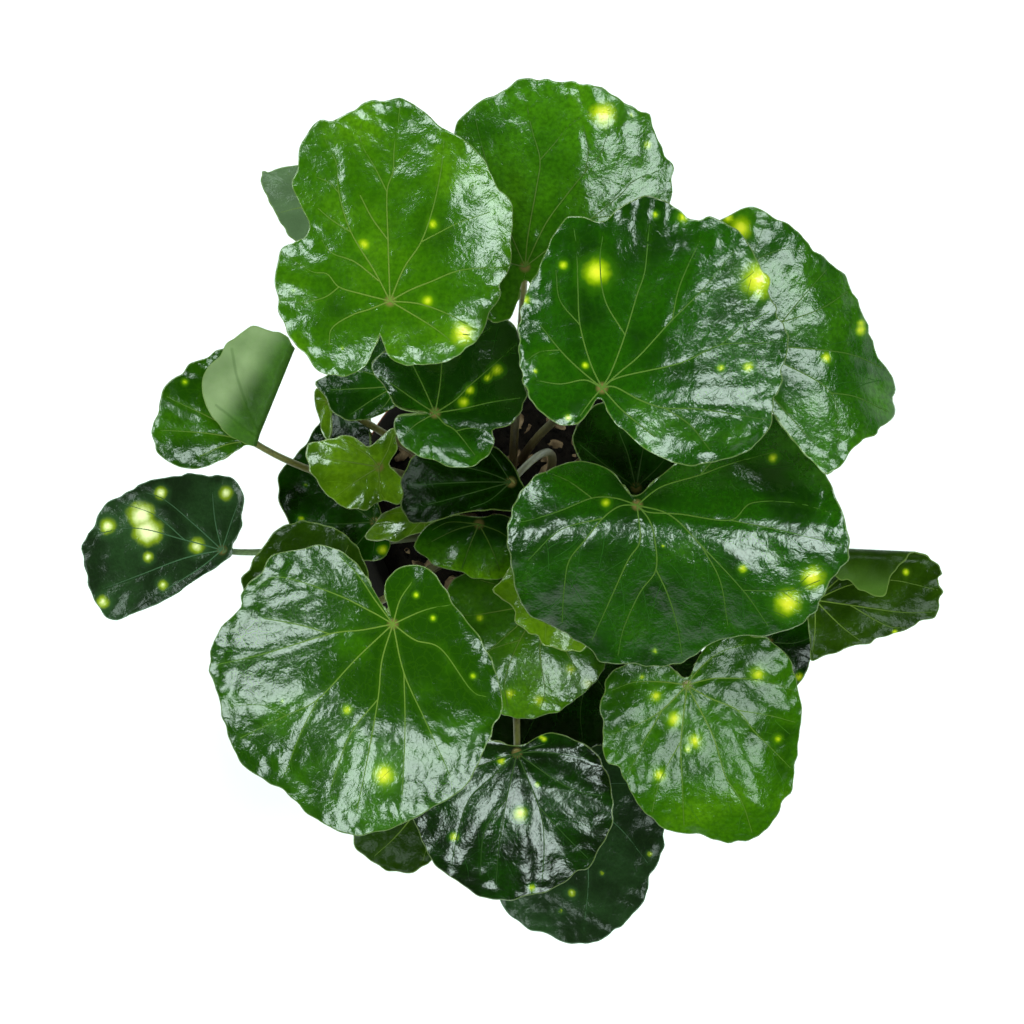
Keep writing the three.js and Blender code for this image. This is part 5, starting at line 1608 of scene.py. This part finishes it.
@dataclass(frozen=True)
class Earth:
    """Damp potting soil or bark: crumbly organic matter with hardly any gloss."""

    name: str
    dark: str
    light: str
    patch_size_mm: float = 4.0
    patch_mm: float = 0.8
    grain_size_mm: float = 0.8
    grain_mm: float = 0.3
    roughness: float = 0.95
    specular_level: float = 0.08

    def material(self) -> bpy.types.Material:
        """Builds the material.

        Returns:
            The material.
        """
        material, tree = blank_material(self.name)
        place = add_node(tree, "ShaderNodeTexCoord").outputs["Object"]
        patches, grains = (add_node(tree, "ShaderNodeTexNoise", inputs={
            "Vector": place, "Scale": per_mm(size), "Detail": detail}).outputs["Fac"]
            for size, detail in ((self.patch_size_mm, 4.0), (self.grain_size_mm, 3.0)))
        tone = add_node(tree, "ShaderNodeMapRange", inputs={
            "Value": patches, "From Min": NOISE_RANGE[0], "From Max": NOISE_RANGE[1]}).outputs[0]
        colour = add_node(tree, "ShaderNodeMix", {"data_type": "RGBA"}, {
            0: tone, 6: srgb(self.dark), 7: srgb(self.light)}).outputs[2]
        below = {}
        for relief, depth in ((patches, self.patch_mm), (grains, self.grain_mm)):
            below = {"Normal": add_node(tree, "ShaderNodeBump", inputs={
                "Strength": 1.0, "Distance": depth * MM, "Height": relief, **below}).outputs[0]}
        finish_material(tree, add_node(tree, "ShaderNodeBsdfPrincipled", inputs={
            "Base Color": colour, "Roughness": self.roughness,
            "Specular IOR Level": self.specular_level, **below}))
        return material


@dataclass
class Pot:
    """Plain tapered flower pot with a rim band and three drain holes, sizes in millimetres."""

    height: float = 150.0
    base_radius: float = 54.0
    rim_radius: float = 83.0
    band_height: float = 36.0
    band_step: float = 8.0
    wall: float = 6.0
    floor: float = 10.0
    edge: float = 2.0
    bevel: float = 0.6
    drain_radius: float = 5.0
    drain_circle: float = 32.0
    drain_count: int = 3
    drain_sides: int = 32
    sides: int = 120

    def inner_radius(self, height: float) -> float:
        """Gives the radius of the inner wall at a height."""
        share = (height - self.floor) / (self.height - self.floor)
        low, high = self.base_radius - self.wall, self.rim_radius - self.edge - self.wall
        return low + (high - low) * share

    def build(self) -> bpy.types.Object:
        """Turns the wall and cuts the drain holes.

        Returns:
            The finished piece.
        """
        edge, bevel, inner = self.edge, self.bevel, self.inner_radius
        foot, top = self.height - self.band_height, self.height
        under_band, lip = self.rim_radius - self.band_step, self.rim_radius - edge / 2
        # From the axis under the floor, out and up the wall, round the band and down inside.
        profile = [
            (0, 0), (self.base_radius - edge, 0), (self.base_radius - bevel, bevel),
            (self.base_radius, edge), (under_band, foot - edge), (under_band + 2.5, foot - 1.2),
            (self.rim_radius - edge - 0.4, foot), (lip - 0.3, foot + 1), (lip, foot + 3),
            (self.rim_radius, top - 3),
            (self.rim_radius - bevel, top - 1), (self.rim_radius - edge, top), (inner(top) + edge, top),
            (inner(top) + bevel, top - 0.5), (inner(top - edge), top - edge),
            (inner(self.floor + 2), self.floor + 2), (inner(self.floor) - 2, self.floor), (0, self.floor)]
        points, corners = turned_points(profile, self.sides)
        piece = put_in_scene("pot_turned", triangle_mesh("pot_turned", points, corners))
        for index in range(self.drain_count):
            self._drain(piece, math.tau * index / self.drain_count)
        piece.data.materials.append(Earthenware().material())
        return piece

    def _drain(self, piece: bpy.types.Object, turn: float) -> None:
        """Cuts one drain hole through the floor.

        Args:
            piece: The pot.
            turn: The hole's place round the drain circle, in radians.
        """
        low, high = -1, self.floor + 1
        points, corners = turned_points(
            [(0, low), (self.drain_radius, low), (self.drain_radius, high), (0, high)], self.drain_sides)
        points += [self.drain_circle * math.cos(turn), self.drain_circle * math.sin(turn), 0]
        cutter = put_in_scene("drain_cutter", triangle_mesh("drain_cutter", points, corners))
        modifier = piece.modifiers.new("drain", "BOOLEAN")
        modifier.operation = "DIFFERENCE"
        modifier.solver = "EXACT"
        modifier.object = cutter
        piece.data = settle(piece)
        bpy.data.objects.remove(cutter)


def crumb_tree() -> bpy.types.NodeTree:
    """Builds the node tree that strews rough crumbs over its host and drops the host.

    Returns:
        A geometry node tree with inputs for the crumbs' number, sizes, seed and finish.
    """
    tree, given = blank_geometry("strewn_crumbs", {
        "Density": "Float", "Size": "Vector", "Roughness": "Float", "Seed": "Int", "Finish": "Material"})
    spread = add_node(tree, "GeometryNodeDistributePointsOnFaces", {"distribute_method": "RANDOM"}, {
        "Mesh": given["Geometry"], "Density": given["Density"], "Seed": given["Seed"]})
    crumb = add_node(tree, "GeometryNodeMeshIcoSphere", inputs={"Radius": 1.0, "Subdivisions": 1})
    spin = add_node(tree, "FunctionNodeRandomValue", {"data_type": "FLOAT_VECTOR"}, {
        0: (-CRUMB_TILT, -CRUMB_TILT, 0.0), 1: (CRUMB_TILT, CRUMB_TILT, math.tau), "Seed": given["Seed"]})
    grow = add_node(tree, "FunctionNodeRandomValue", {"data_type": "FLOAT"}, {
        2: CRUMB_GROWTH[0], 3: CRUMB_GROWTH[1], "Seed": given["Seed"]})
    sized = add_node(tree, "ShaderNodeVectorMath", {"operation": "SCALE"}, {
        0: given["Size"], "Scale": grow.outputs[1]})
    placed = add_node(tree, "GeometryNodeInstanceOnPoints", inputs={
        "Points": spread.outputs["Points"], "Instance": crumb.outputs[0],
        "Rotation": spin.outputs[0], "Scale": sized.outputs[0]})
    real = add_node(tree, "GeometryNodeRealizeInstances", inputs={"Geometry": placed.outputs[0]})
    place = add_node(tree, "GeometryNodeInputPosition")
    rough = add_node(tree, "ShaderNodeTexNoise", inputs={
        "Vector": place.outputs[0], "Scale": per_mm(CRUMB_GRAIN_MM), "Detail": 2.0})
    middle = add_node(tree, "ShaderNodeVectorMath", {"operation": "SUBTRACT"}, {
        0: rough.outputs["Color"], 1: (0.5, 0.5, 0.5)})
    push = add_node(tree, "ShaderNodeVectorMath", {"operation": "SCALE"}, {
        0: middle.outputs[0], "Scale": given["Roughness"]})
    broken = add_node(tree, "GeometryNodeSetPosition", inputs={
        "Geometry": real.outputs[0], "Offset": push.outputs[0]})
    dressed = add_node(tree, "GeometryNodeSetMaterial", inputs={
        "Geometry": broken.outputs[0], "Material": given["Finish"]})
    add_node(tree, "NodeGroupOutput", inputs={"Geometry": dressed.outputs[0]})
    return tree


@dataclass
class Soil:
    """The soil: a filled plug with a low uneven mound, strewn with crumbs and bark chips."""

    pot: Pot
    gap: float = 0.3
    unevenness: float = 0.8
    unevenness_length: float = 13.0
    unevenness_seed: int = 21
    smooth_edge: float = 4.0
    sides: int = 120
    rings: int = 36
    bed_sides: int = 48
    bed_rings: int = 12
    bed_start: float = 2.0
    bed_margin: float = 2.5

    def __post_init__(self) -> None:
        """Works out the radius of the soil at its top edge."""
        self.radius = self.pot.inner_radius(SOIL_EDGE_HEIGHT) - self.gap

    def _top(self, radius: float) -> float:
        """Gives the smooth height of the soil's top at a distance from the axis."""
        return float(SOIL_EDGE_HEIGHT + SOIL_MOUND * (1 - (radius / self.radius) ** 2))

    def plug(self, finish: bpy.types.Material) -> bpy.types.Object:
        """Builds the plug of soil.

        Args:
            finish: The soil's material.

        Returns:
            The finished piece.
        """
        low = self.pot.floor + self.gap
        slope = [(radius, self._top(radius)) for radius in np.linspace(self.radius, 0, self.rings)]
        profile = [(0, low), (self.pot.inner_radius(low) - self.gap, low), *slope]
        points, corners = turned_points(profile, self.sides)
        loose = (points[:, 2] > SOIL_EDGE_HEIGHT - 1) * smooth_step(
            self.radius - length_of(points), 0, self.smooth_edge)
        points[:, 2] += loose * self.unevenness * sine_field(
            points[:, :2], self.unevenness_length, self.unevenness_seed)
        piece = put_in_scene("soil_mound", triangle_mesh("soil_mound", points, corners))
        piece.data.materials.append(finish)
        return piece

    def strew(
        self, name: str, values: Mapping[str, object], tree: bpy.types.NodeTree
    ) -> bpy.types.Object:
        """Strews crumbs or chips over the top of the soil.

        Args:
            name: The finished piece's name.
            values: The node tree's inputs.
            tree: The tree that strews crumbs.

        Returns:
            The finished piece.
        """
        angles = np.linspace(0, math.tau, self.bed_sides, endpoint=False)
        points = np.vstack([
            ring_points(radius, self._top(radius), angles)
            for radius in np.linspace(self.bed_start, self.radius - self.bed_margin, self.bed_rings)])
        bed = triangle_mesh(f"{name}_bed", points, join_rings(0, self.bed_rings, self.bed_sides))
        return grow_piece(name, bed, tree, values)


@dataclass
class Studio:
    """Pale floor, pale walls far off, soft boxes all round and a camera above, in metres."""

    floor_half: float = 1.3
    floor_colour: str = "#f7f7f7"
    air_colour: str = "#f4f8ff"
    air_strength: Pair = (0.8, 0.015)
    horizon: float = 0.18
    box_colour: str = "#ecfff8"
    box_centre: float = 0.3
    box_distance: float = 1.5
    box_tilt: float = 47.0
    box_wide: float = 0.4
    box_high: float = 0.6
    box_count: int = 8
    box_watts: float = 8.6

    def build(self) -> None:
        """Sets up floor, lights, surroundings and camera."""
        self._floor()
        for index in range(self.box_count):
            self._soft_box(index, 360 * (index + 0.5) / self.box_count)
        self._air()
        self._camera()
        bpy.context.scene.view_settings.view_transform = "Standard"

    def _floor(self) -> None:
        """Lays the pale floor."""
        half = self.floor_half / MM
        points = np.array([[-half, -half, 0], [half, -half, 0], [half, half, 0], [-half, half, 0]])
        mesh = triangle_mesh("studio_floor", points, np.array([[0, 1, 2], [0, 2, 3]]))
        material, tree = blank_material("pale_floor")
        finish_material(tree, add_node(tree, "ShaderNodeBsdfPrincipled", inputs={
            "Base Color": srgb(self.floor_colour), "Roughness": 0.9, "Specular IOR Level": 0.1}))
        mesh.materials.append(material)
        put_in_scene("studio_floor", mesh)

    def _air(self) -> None:
        """Makes the surroundings: pale at the horizon and dark overhead."""
        world = bpy.data.worlds.new("studio_air")
        world.use_nodes = True
        tree = world.node_tree
        tree.nodes.clear()
        aim = add_node(tree, "ShaderNodeTexCoord").outputs["Generated"]
        climb = add_node(tree, "ShaderNodeSeparateXYZ", inputs={"Vector": aim}).outputs["Z"]
        glow = add_node(tree, "ShaderNodeMapRange", {"interpolation_type": "SMOOTHSTEP"}, {
            "Value": climb, "From Min": 0.0, "From Max": self.horizon,
            "To Min": self.air_strength[0], "To Max": self.air_strength[1]}).outputs[0]
        air = add_node(tree, "ShaderNodeBackground", inputs={
            "Color": srgb(self.air_colour), "Strength": glow})
        add_node(tree, "ShaderNodeOutputWorld", inputs={"Surface": air.outputs[0]})
        bpy.context.scene.world = world

    def _soft_box(self, index: int, azimuth: float) -> None:
        """Hangs one soft box that faces the plant.

        Args:
            index: The box's number.
            azimuth: Its direction round the plant in degrees.
        """
        light = bpy.data.lights.new(f"soft_box_{index}", "AREA")
        light.shape = "RECTANGLE"
        light.size, light.size_y = self.box_wide, self.box_high
        light.energy = self.box_watts
        light.color = srgb(self.box_colour)[:3]
        lamp = bpy.data.objects.new(light.name, light)
        tilt, turn = math.radians(self.box_tilt), math.radians(azimuth)
        aim = Vector((math.sin(tilt) * math.cos(turn), math.sin(tilt) * math.sin(turn), math.cos(tilt)))
        lamp.location = Vector((0, 0, self.box_centre)) + aim * self.box_distance
        lamp.rotation_euler = aim.to_track_quat("Z", "Y").to_euler()
        lamp.visible_camera = False
        bpy.context.scene.collection.objects.link(lamp)

    def _camera(self) -> None:
        """Puts the camera where the photograph was taken from."""
        camera = bpy.data.cameras.new("camera")
        camera.lens = LENS_MM
        camera.sensor_width = SENSOR_MM
        thing = bpy.data.objects.new("camera", camera)
        thing.location = (0, 0, EYE_HEIGHT * MM)
        bpy.context.scene.collection.objects.link(thing)
        bpy.context.scene.camera = thing


def dress_pot() -> None:
    """Builds the pot, the soil, its crumbs and its bark chips."""
    pot = Pot()
    declare(pot.build(), "pot")
    soil = Soil(pot)
    # The peat is near-black: its own dark brown with the shade under the leaves painted in.
    peat_and_shade = Earth("damp_peat_and_shade", "#050302", "#0f0a07").material()
    bark = Earth("pine_bark", "#34261b", "#75614b", patch_size_mm=6.0).material()
    declare(soil.plug(peat_and_shade), "soil")
    tree = crumb_tree()
    for name, density, size, roughness, seed, finish in (
        ("soil_crumbs", 70000.0, (1.5, 1.2, 1.0), 1.6, 4, peat_and_shade),
        ("bark_chips", 9000.0, (5.5, 3.2, 1.1), 2.4, 9, bark),
    ):
        declare(soil.strew(name, {
            "Density": density, "Size": tuple(side * MM for side in size), "Roughness": roughness * MM,
            "Seed": seed, "Finish": finish}, tree))


def dress_leaves() -> None:
    """Builds every leaf with its blade, veins and stalk."""
    tubes = tube_tree()
    skins = {look: skin.material() for look, skin in SKINS.items()}
    vein_skins = {look: skin.vein_material() for look, skin in SKINS.items()}
    stalk_skins = {skin.slot: skin.material() for skin in (
        StalkSkin("stalk_brown", "#3a2818", "#66662b", "#33290f"),
        StalkSkin("stalk_green", "#332a14", "#5a6f42", "#33401f"))}
    for form in LEAVES:
        leaf = Leaf(form)
        declare(leaf.blade(skins[form.look]), f"blade_{form.name}")
        declare(leaf.veins(vein_skins[form.look], tubes))
        slot = "stalk_green" if form.look in (Look.BLUE, Look.GREY) else "stalk_brown"
        declare(leaf.stalk(stalk_skins[slot], tubes), f"stalk_{form.name}")


def main() -> None:
    """Builds the whole plant and the studio round it."""
    Studio().build()
    dress_pot()
    dress_leaves()


if __name__ == "__main__":
    logging.basicConfig(level=logging.INFO, format="%(message)s")
    main()
